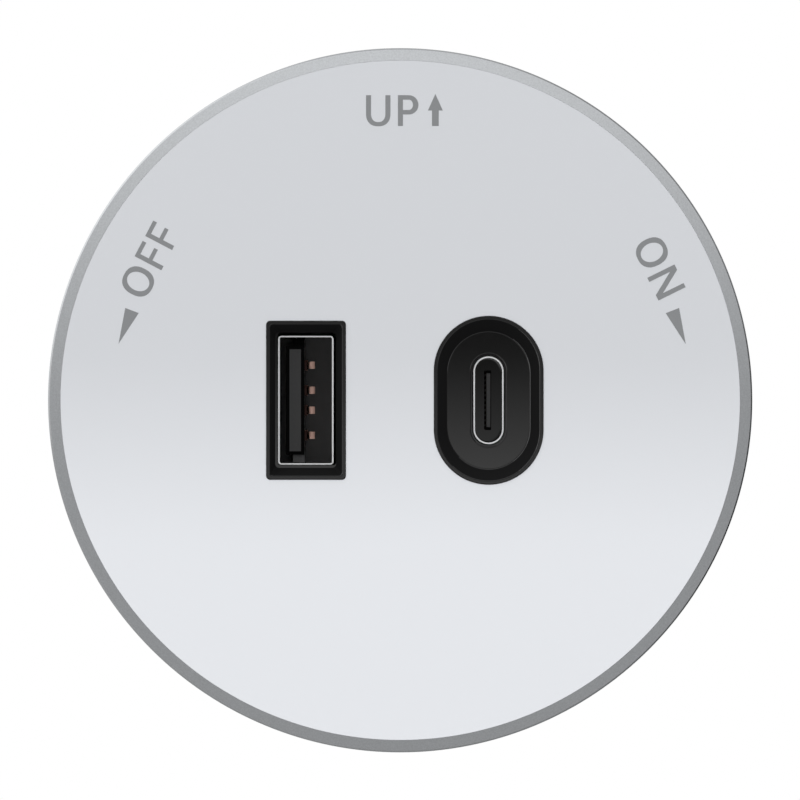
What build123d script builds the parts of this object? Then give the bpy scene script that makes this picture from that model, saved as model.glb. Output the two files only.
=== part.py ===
from build123d import *
from math import atan2, cos, radians, sin, sqrt
import os

os.makedirs("parts", exist_ok=True)

# A USB socket module that twists into the slot of a power track. All sizes are in millimetres.
# It is drawn in a face frame: x to the right and y up as the front is seen, z out towards the
# viewer, z = 0 on the track's surface. It is saved turned, with up along +Z and the front at -Y.

# Gaps
FIT_GAP = 0.04        # round a piece that drops into another
SLIDE_GAP = 0.1       # between flat faces that slide
RUNNING_GAP = 0.3     # between bodies that turn or pass each other
SCREW_GAP = 0.25      # round a screw in a clearance hole
PILOT_GAP = 0.02      # round a screw in its pilot hole
LEAD_GAP = 0.2        # round a lead or leg in the board

# Front face and trim ring
face_diameter = 70.0
rim_width = 1.24          # the ring's bevel as seen from the front
rim_drop = 0.9            # from the face down to the ring's outer corner
rim_edge = 0.15           # chamfer between the bevel and the ring's side
ring_depth = 8.0
ring_flange_width = 1.4   # the ring's inner flange, which carries the face plate
ring_flange_thickness = 1.2
plate_rim_thickness = 1.6
plate_thickness = 2.2

# Stack from the track to the face
seat_gap = 0.4            # the turning head stands clear of the track
collar_height = 2.9
centre_wall = 2.0         # the housing's wall over the collar
rear_room = 5.0           # behind the board
board_thickness = 1.6
front_room = 12.2         # between the board and the face plate

# Rear housing
housing_wall = 2.1
housing_taper = 0.5
housing_floor = 2.0
housing_chamfer = 1.0
spigot_gap = 0.06         # between the housing's spigot and the ring's skirt
shadow_gap = 0.3          # between the ring's skirt and the housing's shoulder
centre_margin = 1.9       # the raised centre beyond the collar's recess
tower_radius = 3.2
tower_margin = 1.6        # between a screw tower and the housing's side wall
boss_radius = 2.7

# Screws
screw_radius = 1.2
screw_head_radius = 2.3
screw_head_height = 1.9
screw_head_depth = 3.6    # from the housing's rear face to the head's seat
screw_grip = 7.0          # in the face plate's bosses
small_screw_radius = 1.0
small_head_radius = 1.8
small_head_height = 1.3
small_head_sink = 0.5     # below the key cap's rear face
key_screw_grip = 6.0
cap_screw_grip = 4.0
pilot_spare = 1.0         # a pilot hole goes on past its screw
cross_rim = 0.75          # of a head, round its cross recess
cross_width = 0.5
cross_depth = 0.9

# USB-A port
usb_a_x = -9.39
usb_a_width = 5.12        # inside the shell, across the tongue
usb_a_height = 12.5
usb_a_setback = 1.25      # from the face to the shell's front edge
usb_a_depth = 8.9         # from the shell's front edge to the insulator's floor
usb_a_funnel_side = 0.55
usb_a_funnel_end = 0.805
usb_a_corner = 0.4
tongue_a_gap = 0.57       # behind the tongue
tongue_a_thickness = 1.84
tongue_a_height = 10.86
tongue_a_setback = 0.7
tongue_a_chamfer = 0.35
rib_width = 1.15
rib_slope = 0.8
contact_a_offsets = (-3.5, -1.0, 1.0, 3.5)
contact_a_width = 1.0
contact_a_thickness = 0.22
leaf_width = 0.72
leaf_thickness = 0.2
leaf_tip_rise = 0.54      # leaf's middle line off the tongue, at its tip
leaf_peak_rise = 0.98
leaf_tip_setback = 1.1
leaf_peak_setback = 1.6
leaf_length = 5.2
leaf_root = 1.0           # where the leaf lies on its strip
leaf_root_bend = 0.5
leaf_peak_bend = 0.8
finger_offset = 3.2
finger_width = 1.8
finger_length = 5.0
finger_slot = 0.35
finger_setback = 2.2

# USB-C port
usb_c_x = 8.79
usb_c_width = 2.6
usb_c_height = 8.34
usb_c_setback = 1.15
usb_c_depth = 6.2
usb_c_floor_side = 2.655  # the bezel's floor beyond the shell
usb_c_floor_end = 2.51
usb_c_floor_depth = 1.1
usb_c_floor_thickness = 1.2
usb_c_funnel_side = 0.9
usb_c_funnel_end = 1.12
tongue_c_thickness = 0.54
tongue_c_height = 5.95
tongue_c_setback = 0.98
tongue_c_chamfer_side = 0.08
tongue_c_chamfer_end = 0.3
pad_count = 12
pad_pitch = 0.5
pad_width = 0.26
pad_thickness = 0.08
pad_proud = 0.02          # of the tongue, which holds the rest of the pad's thickness
pad_length = 3.8
pad_setback = 0.7

# Both ports
bezel_lip = 0.38
bezel_proud = 0.1
bezel_flange_width = 1.3
bezel_flange_thickness = 1.0
shell_wall = 0.2
bezel_to_shell = 0.27
shell_leg_width = 1.4
leg_protrusion = 1.2      # legs and tails behind the board

# Board and what stands on it
board_margin = 3.55       # from the screws' centres to the board's edges
board_chamfer = 3.5
headroom = 0.8            # over the tallest capacitors
core_headroom = 1.4
core_length = 14.0
core_thickness = 6.2
core_yoke = 2.0
core_centre_leg = 3.2
bobbin_wall = 0.6
bobbin_height = 12.0
bobbin_flange = 9.6
winding_build = 1.9
winding_corner = 1.8
transformer_place = (0.0, 15.6)
input_capacitor_radius = 4.0
input_capacitor_places = ((-9.5, -15.6), (0.5, -15.6))
output_capacitor_radius = 3.15
output_capacitor_height = 8.0
output_capacitor_place = (0.0, 5.4)
can_crimp_height = 1.2
can_crimp = 0.4
can_crimp_depth = 0.3
choke_radius = 3.0
choke_height = 7.5
choke_rim = 1.0
choke_waist = 0.4         # how far the winding lies inside the drum's rims
choke_gap = 0.9           # to the face plate's nearest boss
fuse_size = (4.0, 8.0, 7.5)
fuse_corner = 0.5
fuse_edge = 3.5           # to the board's edge
fuse_height = 3.0         # above the face's middle
disc_radius = 3.5
disc_thickness = 3.0
disc_chamfer = 0.9
disc_edge = 3.9
disc_height = -3.0
lead_width = 0.6
lead_length = 1.0
bridge_size = (6.4, 7.6, 2.5)
bridge_place = (12.0, -10.0)
chip_size = (3.9, 4.9, 1.7)
chip_places = ((-14.0, 11.5), (9.0, 12.5), (-14.0, -11.5))
chip_standoff = 0.15
chip_lead_count = 4
chip_lead_width = 0.4
chip_lead_reach = 0.9

# Collar that stays in the track's slot
collar_radius = 19.0
collar_cover = 0.9        # thickness of the collar's outer flange, which hides the springs
cover_gap = 0.2
collar_counterbore = 1.3
ear_width = 16.0
ear_depth = 2.4
ear_start = 11.4          # from the axis to the ears' inner edges
ear_end = 21.6
ear_chamfer = 0.6
turn_angle = 90.0
lug_angle = 45.0
lug_width = 12.0          # in degrees
lug_height = 1.8
lug_root = 1.0            # inside the collar
stop_gap = 0.4            # in degrees, at each end of the turn

# Detent springs
pocket_depth = 3.8
spring_thickness = 0.25
detent_foot = 1.7
foot_gap = 0.2            # past each foot in its pocket
detent_foot_bend = 0.6
detent_nose_radius = 0.8  # middle line
detent_nose_reach = 4.5   # from the feet to the point of the bend
detent_span = 6.8

# T-shaped key
key_length = 36.0
key_width = 15.0
key_corner = 3.0
key_top = -2.8            # the head's front, behind the track's lips
key_split = -10.4
key_rear = -16.6
key_rear_chamfer = 1.2
key_chamfer = 0.8
key_flange_width = 3.0
key_flange_rise = 0.15
key_end_wall = 1.6
key_side_wall = 2.3
chamber_start = 6.2
chamber_roof = -6.0
window_rim = 1.0
passage_length = 8.6
passage_width = 4.4
key_screw_offset = 5.6
cap_screw_offset = 4.2

# Sprung contacts
shoe_length = 2.9         # of the flange that the chamber holds back
contact_travel = 1.2
nose_stand = 0.4          # left past the key's end when a shoe is pushed in
nose_rounding = 2.2
contact_spring_height = 3.0
contact_spring_margin = 1.9
contact_spring_folds = 2
spring_seat_depth = 0.8   # of the pocket in a shoe's back
fold_bend = 0.5
earth_chamber_radius = 3.3
earth_recess_roof = -7.0
earth_foot_thickness = 0.5
earth_pin_radius = 2.1
earth_pin_gap = 0.2
earth_pin_chamfer = 0.9
earth_spring_margin = 1.3
earth_spring_folds = 3
earth_stand = 0.1         # left past the key's rear when the pin is pushed in
earth_flange_thickness = 1.0
earth_floor = 1.6         # of the cap, round the pin
busbar_thickness = 0.5
busbar_width = 3.0
busbar_offset = 3.6
busbar_bend = 0.8
busbar_end = 1.4          # from the strip's end to the chamber's end wall
groove_end = 1.0

# Levels
recess_floor = collar_height + SLIDE_GAP
inner_floor = recess_floor + centre_wall
board_back = inner_floor + rear_room
board_front = board_back + board_thickness
plate_back = board_front + front_room
face = plate_back + plate_thickness
flange_front = face - plate_rim_thickness
flange_rear = flange_front - ring_flange_thickness
ring_rear = face - ring_depth
shell_a_front = face - usb_a_setback
floor_a = shell_a_front - usb_a_depth
tip_a = shell_a_front - tongue_a_setback
shell_c_front = face - usb_c_setback
floor_c = shell_c_front - usb_c_depth
tip_c = shell_c_front - tongue_c_setback
leg_end = board_back - leg_protrusion
rear_floor = seat_gap + housing_floor
screw_seat = seat_gap + screw_head_depth
spring_low = collar_cover + cover_gap + SLIDE_GAP
spring_high = recess_floor - SLIDE_GAP

# Radii
ring_radius = face_diameter / 2
ring_bore = ring_radius - rim_width
flange_bore = ring_bore - ring_flange_width
spigot_radius = ring_bore - spigot_gap
housing_radius = flange_bore + housing_wall
housing_bore = flange_bore
screw_circle = housing_bore - tower_margin - tower_radius
screw_offset = screw_circle / sqrt(2)
board_half = screw_offset + board_margin
choke_offset = screw_offset - (boss_radius + choke_radius + choke_gap) / sqrt(2)
collar_bore = key_width / 2 + RUNNING_GAP
key_flange_radius = key_width / 2 + key_flange_width
pocket_end = collar_radius + RUNNING_GAP + pocket_depth
pocket_half_length = detent_span / 2 + detent_foot + foot_gap
cover_radius = pocket_end + SLIDE_GAP
recess_radius = cover_radius + RUNNING_GAP
centre_radius = recess_radius + centre_margin

# Port sizes
shell_a_width = usb_a_width + 2 * shell_wall
shell_a_height = usb_a_height + 2 * shell_wall
shell_c_width = usb_c_width + 2 * shell_wall
shell_c_height = usb_c_height + 2 * shell_wall
tongue_a_back = -usb_a_width / 2 + tongue_a_gap
tongue_a_face = tongue_a_back + tongue_a_thickness

# Key sizes
chamber_end = key_length / 2 - key_end_wall
chamber_half = key_width / 2 - key_side_wall
window_half = chamber_half - window_rim
busbar_level = chamber_roof + busbar_thickness / 2
shoe_front = chamber_end - SLIDE_GAP
shoe_back = shoe_front - shoe_length
contact_spring_end = shoe_back + spring_seat_depth
contact_spring_half = chamber_half - contact_spring_margin
contact_spring_level = (key_split + chamber_roof) / 2
earth_stop = key_rear + earth_floor
earth_flange_front = earth_stop + SLIDE_GAP + earth_flange_thickness
earth_foot_rear = earth_recess_roof - earth_foot_thickness
cap_screw_seat = key_rear + small_head_sink + small_head_height


def block(x_range, y_range, z_range):
    """A box between low and high values along each axis."""
    sizes = [high - low for low, high in (x_range, y_range, z_range)]
    middles = [(high + low) / 2 for low, high in (x_range, y_range, z_range)]
    return Pos(*middles) * Box(*sizes)


def prism(outline, low, high):
    """An outline in the face's plane, carried from one level to another."""
    return extrude(Pos(0, 0, low) * outline, high - low)


def post(place, radius, low, high):
    """A round post or hole at an (x, y) place."""
    return Pos(*place) * prism(Circle(radius), low, high)


def turned(*points):
    """A solid turned about the axis, from (radius, level) points."""
    outline = make_face(Polyline(*points, close=True))
    return revolve(Plane.XZ * outline, Axis.Z)


def stadium(width, height):
    """An upright outline with half-round ends."""
    return SlotOverall(height, width, rotation=90)


def funnel(mouth, throat, mouth_level, throat_level):
    """A tapering hole between two outlines."""
    return loft([Pos(0, 0, throat_level) * throat.face(), Pos(0, 0, mouth_level) * mouth.face()])


def bent_strip(points, radii, thickness):
    """The outline of a strip of even thickness along a line with rounded corners."""
    return trace(FilletPolyline(*points, radius=radii), thickness)


def round_edges(shape, radius, level):
    """The circular edges of one radius at one level."""
    circles = shape.edges().filter_by(GeomType.CIRCLE)
    return [edge for edge in circles
            if abs(edge.radius - radius) < 0.01 and abs(edge.arc_center.Z - level) < 0.01]


def level_edges(shape, level):
    """All edges that lie flat at one level."""
    return [edge for edge in shape.edges()
            if abs(edge.bounding_box().min.Z - level) < 0.001
            and abs(edge.bounding_box().max.Z - level) < 0.001]


def sector(inner, outer, start, sweep):
    """Part of a ring between two radii, from a start angle, in degrees."""
    first = (cos(radians(start)), sin(radians(start)))
    last = (cos(radians(start + sweep)), sin(radians(start + sweep)))
    edges = [
        CenterArc((0, 0), inner, start, sweep),
        CenterArc((0, 0), outer, start, sweep),
        Line((inner * first[0], inner * first[1]), (outer * first[0], outer * first[1])),
        Line((inner * last[0], inner * last[1]), (outer * last[0], outer * last[1])),
    ]
    return make_face(edges)


def diagonal_places(offset):
    """The four places on the diagonals, the same distance out along x and y."""
    return [(x * offset, y * offset) for x in (-1, 1) for y in (-1, 1)]


def cross_recess(head_radius, head_level):
    """The cross-shaped driver recess in a screw's head."""
    length = 2 * (head_radius - cross_rim)
    cross = Rectangle(length, cross_width) + Rectangle(cross_width, length)
    return prism(cross, head_level, head_level + cross_depth)


def save(name, shape):
    """Write one sub-part, turned so that the face looks towards -Y and up is +Z."""
    export_step(Rot(90, 0, 0) * shape, f"parts/{name}.step")


# Front

def trim_ring():
    ring = turned(
        (ring_radius, ring_rear), (ring_radius, face - rim_drop), (ring_bore, face),
        (ring_bore, flange_front), (flange_bore, flange_front), (flange_bore, flange_rear),
        (ring_bore, flange_rear), (ring_bore, ring_rear))
    return chamfer(round_edges(ring, ring_radius, face - rim_drop), rim_edge)


def face_plate():
    plate = turned(
        (0, plate_back), (flange_bore - FIT_GAP, plate_back), (flange_bore - FIT_GAP, flange_front),
        (ring_bore - FIT_GAP / 2, flange_front), (ring_bore - FIT_GAP / 2, face), (0, face))
    plate -= Pos(usb_a_x, 0) * prism(bezel_a_outline(FIT_GAP), plate_back, face)
    plate -= Pos(usb_c_x, 0) * prism(bezel_c_outline(FIT_GAP), plate_back, face)
    for place in diagonal_places(screw_offset):
        plate += post(place, boss_radius, board_front, plate_back)
        plate -= post(place, screw_radius + PILOT_GAP, board_front, board_front + screw_grip + pilot_spare)
    return plate


def bezel_a_outline(growth):
    """The USB-A bezel's outline, grown by a margin on each side."""
    margin = 2 * (bezel_to_shell + usb_a_funnel_side + bezel_lip + growth)
    end_margin = 2 * (bezel_to_shell + usb_a_funnel_end + bezel_lip + growth)
    return RectangleRounded(shell_a_width + margin, shell_a_height + end_margin, usb_a_corner + max(growth, 0))


def bezel_c_outline(growth):
    """The USB-C bezel's outline, grown by a margin on each side."""
    margin = 2 * (usb_c_floor_side + usb_c_funnel_side + bezel_lip + growth)
    end_margin = 2 * (usb_c_floor_end + usb_c_funnel_end + bezel_lip + growth)
    return stadium(shell_c_width + margin, shell_c_height + end_margin)


def bezel_blank(outline):
    """The plug through the plate and the flange behind it."""
    return (prism(outline(0), plate_back, face + bezel_proud)
            + prism(outline(bezel_flange_width), plate_back - bezel_flange_thickness, plate_back))


def usb_a_bezel():
    throat = RectangleRounded(shell_a_width + 2 * bezel_to_shell, shell_a_height + 2 * bezel_to_shell,
                              usb_a_corner)
    bezel = bezel_blank(bezel_a_outline)
    bezel -= funnel(bezel_a_outline(-bezel_lip), throat, face + bezel_proud, shell_a_front)
    bezel -= prism(throat, plate_back - bezel_flange_thickness, shell_a_front)
    return Pos(usb_a_x, 0) * bezel


def usb_c_bezel():
    floor = stadium(shell_c_width + 2 * usb_c_floor_side, shell_c_height + 2 * usb_c_floor_end)
    floor_level = face - usb_c_floor_depth
    bezel = bezel_blank(bezel_c_outline)
    bezel -= funnel(bezel_c_outline(-bezel_lip), floor, face + bezel_proud, floor_level)
    bezel -= prism(stadium(shell_c_width + 2 * bezel_to_shell, shell_c_height + 2 * bezel_to_shell),
                   plate_back - bezel_flange_thickness, floor_level)
    rear_pocket = prism(floor, plate_back - bezel_flange_thickness, floor_level - usb_c_floor_thickness)
    return Pos(usb_c_x, 0) * (bezel - rear_pocket)


# USB-A receptacle

def usb_a_leg_ranges():
    """The x and y ranges of the shell's two legs, at its short ends."""
    half = shell_a_height / 2
    across = (-shell_leg_width / 2, shell_leg_width / 2)
    return [(across, (half - shell_wall, half)), (across, (-half, shell_wall - half))]


def usb_a_shell():
    outer = RectangleRounded(shell_a_width, shell_a_height, usb_a_corner)
    inner = RectangleRounded(usb_a_width, usb_a_height, usb_a_corner - shell_wall)
    shell = prism(outer - inner, board_front, shell_a_front)
    finger_front = shell_a_front - finger_setback
    for middle in (-finger_offset, finger_offset):
        shell -= finger_slots(middle, finger_front)
    for x_range, y_range in usb_a_leg_ranges():
        shell += block(x_range, y_range, (leg_end, board_front))
    return Pos(usb_a_x, 0) * shell


def finger_slots(middle, front):
    """The slots that free one spring finger on each wide side of the shell."""
    across = (-shell_a_width, shell_a_width)
    half = finger_width / 2
    rear = front - finger_length
    left = block(across, (middle - half - finger_slot, middle - half), (rear, front))
    right = block(across, (middle + half, middle + half + finger_slot), (rear, front))
    end = block(across, (middle - half, middle + half), (front - finger_slot, front))
    return left + right + end


def usb_a_insulator():
    body = prism(RectangleRounded(usb_a_width - 2 * FIT_GAP, usb_a_height - 2 * FIT_GAP,
                                  usb_a_corner - shell_wall), board_front, floor_a)
    half = tongue_a_height / 2
    tongue = block((tongue_a_back, tongue_a_face), (-half, half), (floor_a, tip_a))
    tongue = chamfer(level_edges(tongue, tip_a), tongue_a_chamfer)
    body += tongue
    for side in (-1, 1):
        body += end_rib(side)
    for offset in contact_a_offsets:
        body -= block((tongue_a_face, tongue_a_face + contact_a_thickness + FIT_GAP),
                      (offset - contact_a_width / 2 - FIT_GAP, offset + contact_a_width / 2 + FIT_GAP),
                      (board_front, floor_a))
    return Pos(usb_a_x, 0) * body


def end_rib(side):
    """The rib that ties one end of the tongue to the receptacle's wall. Only the upper one slopes."""
    inner = tongue_a_height / 2
    outer = usb_a_height / 2 - FIT_GAP
    high = tip_a - rib_slope
    edge = high - rib_slope if side > 0 else high
    outline = Polyline((side * inner, floor_a), (side * outer, floor_a),
                       (side * outer, edge), (side * inner, high), close=True)
    rib = extrude(Plane.YZ * make_face(outline), rib_width, dir=(-1, 0, 0))
    return Pos(tongue_a_face, 0) * rib


def usb_a_contacts():
    return Pos(usb_a_x, 0) * Compound([Pos(0, offset) * usb_a_contact() for offset in contact_a_offsets])


def usb_a_contact():
    """One contact: strip along the tongue, sprung leaf, and tail through the board."""
    flat = (tongue_a_face, tongue_a_face + contact_a_thickness)
    half = contact_a_width / 2
    strip_front = tip_a - tongue_a_chamfer - FIT_GAP
    strip = block(flat, (-half, half), (board_front, strip_front))
    tail = block(flat, (-contact_a_thickness, contact_a_thickness), (leg_end, board_front))
    peak = tip_a - leaf_peak_setback
    root = peak - leaf_length
    rise = contact_a_thickness - leaf_thickness / 2
    line = bent_strip(
        [(tongue_a_face + rise, root - leaf_root), (tongue_a_face + rise, root),
         (tongue_a_face + leaf_peak_rise, peak), (tongue_a_face + leaf_tip_rise, tip_a - leaf_tip_setback)],
        [leaf_root_bend, leaf_peak_bend], leaf_thickness)
    leaf = extrude(Plane.XZ * line, leaf_width / 2, both=True)
    return strip + tail + leaf


# USB-C receptacle

def usb_c_leg_ranges():
    """The x and y ranges of the shell's four legs, on its flat sides."""
    outer = shell_c_width / 2
    sides = ((outer - shell_wall, outer), (-outer, shell_wall - outer))
    reach = usb_c_height / 4
    spans = [(y - shell_leg_width / 2, y + shell_leg_width / 2) for y in (-reach, reach)]
    return [(side, span) for side in sides for span in spans]


def usb_c_shell():
    tube = stadium(shell_c_width, shell_c_height) - stadium(usb_c_width, usb_c_height)
    shell = prism(tube, board_front, shell_c_front)
    for x_range, y_range in usb_c_leg_ranges():
        shell += block(x_range, y_range, (leg_end, board_front))
    return Pos(usb_c_x, 0) * shell


def usb_c_insulator():
    body = prism(stadium(usb_c_width - 2 * FIT_GAP, usb_c_height - 2 * FIT_GAP), board_front, floor_c)
    half_x = tongue_c_thickness / 2
    half_y = tongue_c_height / 2
    neck = tip_c - tongue_c_chamfer_end
    tongue = block((-half_x, half_x), (-half_y, half_y), (floor_c, neck))
    wide = Rectangle(tongue_c_thickness, tongue_c_height)
    narrow = Rectangle(tongue_c_thickness - 2 * tongue_c_chamfer_side,
                       tongue_c_height - 2 * tongue_c_chamfer_end)
    insulator = body + tongue + funnel(narrow, wide, tip_c, neck)
    for pad in contact_pads():
        insulator -= pad
    return Pos(usb_c_x, 0) * insulator


def usb_c_contacts():
    return Pos(usb_c_x, 0) * Compound(contact_pads())


def contact_pads():
    """The pads, let into both sides of the tongue."""
    front = tip_c - pad_setback
    outer = tongue_c_thickness / 2 + pad_proud
    pads = []
    for index in range(pad_count):
        middle = (index - (pad_count - 1) / 2) * pad_pitch
        across = (middle - pad_width / 2, middle + pad_width / 2)
        for side in (-1, 1):
            depth = sorted((side * (outer - pad_thickness), side * outer))
            pads.append(block(depth, across, (front - pad_length, front)))
    return pads


# Board and its parts

def main_board():
    board = prism(Rectangle(2 * board_half, 2 * board_half), board_back, board_front)
    board = chamfer(board.edges().filter_by(Axis.Z), board_chamfer)
    for place in diagonal_places(screw_offset):
        board -= post(place, screw_radius + SCREW_GAP, board_back, board_front)
    for x_range, y_range in usb_a_leg_ranges():
        board -= Pos(usb_a_x, 0) * board_slot(x_range, y_range)
    for x_range, y_range in usb_c_leg_ranges():
        board -= Pos(usb_c_x, 0) * board_slot(x_range, y_range)
    tail_x = usb_a_x + tongue_a_face
    for offset in contact_a_offsets:
        board -= board_slot((tail_x, tail_x + contact_a_thickness),
                            (offset - contact_a_thickness, offset + contact_a_thickness))
    half = busbar_thickness / 2
    for middle in (-busbar_offset, 0, busbar_offset):
        board -= board_slot((middle - half, middle + half), (-busbar_width / 2, busbar_width / 2))
    return board


def board_slot(x_range, y_range):
    """A slot through the board round a leg or strip."""
    return block((x_range[0] - LEAD_GAP, x_range[1] + LEAD_GAP),
                 (y_range[0] - LEAD_GAP, y_range[1] + LEAD_GAP), (board_back, board_front))


def core_height():
    return front_room - core_headroom


def transformer_core():
    half = core_length / 2
    leg = core_centre_leg / 2
    top = board_front + core_height()
    core = block((-half, half), (-core_thickness / 2, core_thickness / 2), (board_front, top))
    for side in (-1, 1):
        window = sorted((side * leg, side * (half - core_yoke)))
        core -= block(window, (-core_thickness, core_thickness), (board_front + core_yoke, top - core_yoke))
    return Pos(*transformer_place) * core


def bobbin_levels():
    """The bobbin's lower and upper ends, inside the core's window."""
    return (board_front + core_yoke + FIT_GAP, board_front + core_height() - core_yoke - FIT_GAP)


def transformer_bobbin():
    low, high = bobbin_levels()
    inner = (core_centre_leg + 2 * FIT_GAP, core_thickness + 2 * FIT_GAP)
    tube = Rectangle(inner[0] + 2 * bobbin_wall, inner[1] + 2 * bobbin_wall)
    flange = Rectangle(bobbin_flange, bobbin_height)
    bobbin = prism(flange, low, low + bobbin_wall) + prism(flange, high - bobbin_wall, high)
    bobbin += prism(tube, low, high)
    bobbin -= prism(Rectangle(*inner), low, high)
    rail_start = core_thickness / 2 + RUNNING_GAP
    for side in (-1, 1):
        rail = sorted((side * rail_start, side * bobbin_height / 2))
        bobbin += block((-bobbin_flange / 2, bobbin_flange / 2), rail, (board_front, low))
    return Pos(*transformer_place) * bobbin


def transformer_winding():
    low, high = bobbin_levels()
    inner_x = core_centre_leg + 2 * (FIT_GAP + bobbin_wall)
    inner_y = core_thickness + 2 * (FIT_GAP + bobbin_wall)
    outer = RectangleRounded(inner_x + 2 * winding_build, inner_y + 2 * winding_build, winding_corner)
    winding = prism(outer - Rectangle(inner_x, inner_y), low + bobbin_wall, high - bobbin_wall)
    return Pos(*transformer_place) * winding


def can(place, radius, height):
    """An electrolytic capacitor: sleeve rounded at the top and crimped near its base."""
    top = board_front + height
    crimp = board_front + can_crimp_height
    body = turned((0, board_front), (radius, board_front), (radius, crimp),
                  (radius - can_crimp_depth, crimp + can_crimp), (radius, crimp + 2 * can_crimp),
                  (radius, top - can_crimp), (radius - can_crimp, top), (0, top))
    return Pos(*place) * body


def input_capacitors():
    height = front_room - headroom
    return Compound([can(place, input_capacitor_radius, height) for place in input_capacitor_places])


def output_capacitor():
    return can(output_capacitor_place, output_capacitor_radius, output_capacitor_height)


def choke():
    """A drum core with its winding."""
    top = board_front + choke_height
    waist = choke_radius - choke_waist
    low = board_front + choke_rim
    high = top - choke_rim
    drum = turned((0, board_front), (choke_radius, board_front), (choke_radius, low), (waist, low),
                  (waist, high), (choke_radius, high), (choke_radius, top), (0, top))
    return Pos(choke_offset, choke_offset) * drum


def fuse():
    width, length, height = fuse_size
    body = prism(RectangleRounded(width, length, fuse_corner), board_front, board_front + height)
    return Pos(fuse_edge + width / 2 - board_half, fuse_height) * body


def y_capacitor():
    """A ceramic disc standing on its two leads."""
    middle = board_front + lead_length + disc_radius
    disc = Cylinder(disc_radius, disc_thickness)
    disc = chamfer(disc.edges().filter_by(GeomType.CIRCLE), disc_chamfer)
    disc = Pos(0, 0, middle) * Rot(0, 90, 0) * disc
    half = lead_width / 2
    for y in (-disc_radius / 2, disc_radius / 2):
        disc += block((-half, half), (y - half, y + half), (board_front, middle))
    return Pos(board_half - disc_edge - disc_thickness / 2, disc_height) * disc


def bridge_rectifier():
    return rear_chip(bridge_place, bridge_size)


def controller_chips():
    return Compound([rear_chip(place, chip_size) for place in chip_places])


def rear_chip(place, size):
    """A moulded chip with two rows of leads, on the board's back."""
    width, length, height = size
    half = chip_lead_width / 2
    body = prism(Rectangle(width, length), board_back - height, board_back - chip_standoff)
    for side in (-1, 1):
        feet = sorted((side * width / 2, side * (width / 2 + chip_lead_reach)))
        for index in range(chip_lead_count):
            middle = (index - (chip_lead_count - 1) / 2) * length / chip_lead_count
            body += block(feet, (middle - half, middle + half), (board_back - height / 2, board_back))
    return Pos(*place) * body


# Housing

def rear_housing():
    shoulder = ring_rear - shadow_gap
    ledge = collar_cover + cover_gap
    bowl = turned(
        (0, inner_floor), (centre_radius, inner_floor), (centre_radius, rear_floor),
        (housing_bore, rear_floor), (housing_bore, flange_rear), (spigot_radius, flange_rear),
        (spigot_radius, shoulder), (housing_radius, shoulder), (housing_radius - housing_taper, seat_gap),
        (recess_radius, seat_gap), (recess_radius, ledge), (collar_radius + RUNNING_GAP, ledge),
        (collar_radius + RUNNING_GAP, recess_floor), (0, recess_floor))
    bowl = chamfer(round_edges(bowl, housing_radius - housing_taper, seat_gap), housing_chamfer)
    for place in diagonal_places(screw_offset):
        bowl += post(place, tower_radius, screw_seat - housing_floor, board_back)
        bowl -= post(place, screw_radius + SCREW_GAP, seat_gap, board_back)
        bowl -= post(place, screw_head_radius + RUNNING_GAP, seat_gap, screw_seat)
    bowl -= block((-passage_length / 2, passage_length / 2), (-passage_width / 2, passage_width / 2),
                  (recess_floor, inner_floor))
    for side in (-1, 1):
        bowl -= post((0, side * key_screw_offset), small_screw_radius + SCREW_GAP, recess_floor, inner_floor)
        pocket = sorted((side * collar_radius, side * pocket_end))
        bowl -= block(pocket, (-pocket_half_length, pocket_half_length), (ledge, recess_floor))
    bowl -= prism(stop_groove(), ledge, recess_floor)
    return bowl


def stop_groove():
    """The groove in which the collar's lug travels, with an end for each end of the turn."""
    start = lug_angle - lug_width / 2 - stop_gap
    sweep = turn_angle + lug_width + 2 * stop_gap
    return sector(collar_radius, collar_radius + lug_height + RUNNING_GAP, start, sweep)


def housing_screws():
    return Compound([screw_from_behind(place) for place in diagonal_places(screw_offset)])


def screw_from_behind(place):
    """A pan-head screw whose head is sunk in the housing's rear."""
    low = screw_seat - screw_head_height
    end = board_front + screw_grip
    body = turned((0, low), (screw_head_radius, low), (screw_head_radius, screw_seat),
                  (screw_radius, screw_seat), (screw_radius, end), (0, end))
    return Pos(*place) * (body - cross_recess(screw_head_radius, low))


# Collar

def guide_collar():
    collar = turned(
        (key_flange_radius + RUNNING_GAP, 0), (cover_radius, 0), (cover_radius, collar_cover),
        (collar_radius, collar_cover), (collar_radius, collar_height), (collar_bore, collar_height),
        (collar_bore, collar_counterbore), (key_flange_radius + RUNNING_GAP, collar_counterbore))
    lug = sector(collar_radius - lug_root, collar_radius + lug_height, lug_angle - lug_width / 2, lug_width)
    collar += prism(lug, collar_cover / 2, collar_height)
    for angle in (0, 90, 180, 270):
        notch = post((nose_centre(), 0), nose_outer() + RUNNING_GAP, collar_cover, collar_height)
        collar -= Rot(0, 0, angle) * notch
    for side in (-1, 1):
        collar += guide_ear(side)
    return collar


def guide_ear(side):
    """One of the two ears that keep the collar from turning in the track's slot."""
    ear = Rectangle(2 * ear_end, ear_width) & Circle(ear_end)
    ear = prism(ear, -ear_depth, collar_cover / 2)
    span = sorted((side * ear_start, side * 2 * ear_end))
    ear &= block(span, (-ear_width, ear_width), (-2 * ear_depth, collar_height))
    return chamfer(level_edges(ear, -ear_depth), ear_chamfer)


def nose_half_angle():
    """Half the angle of the detent spring's bend, in radians."""
    return atan2(detent_span / 2, detent_nose_reach)


def nose_centre():
    """The radius of the place where the detent spring's nose is centred."""
    point = pocket_end - spring_thickness / 2 - detent_nose_reach
    return point + detent_nose_radius / sin(nose_half_angle())


def nose_outer():
    return detent_nose_radius + spring_thickness / 2


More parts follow.
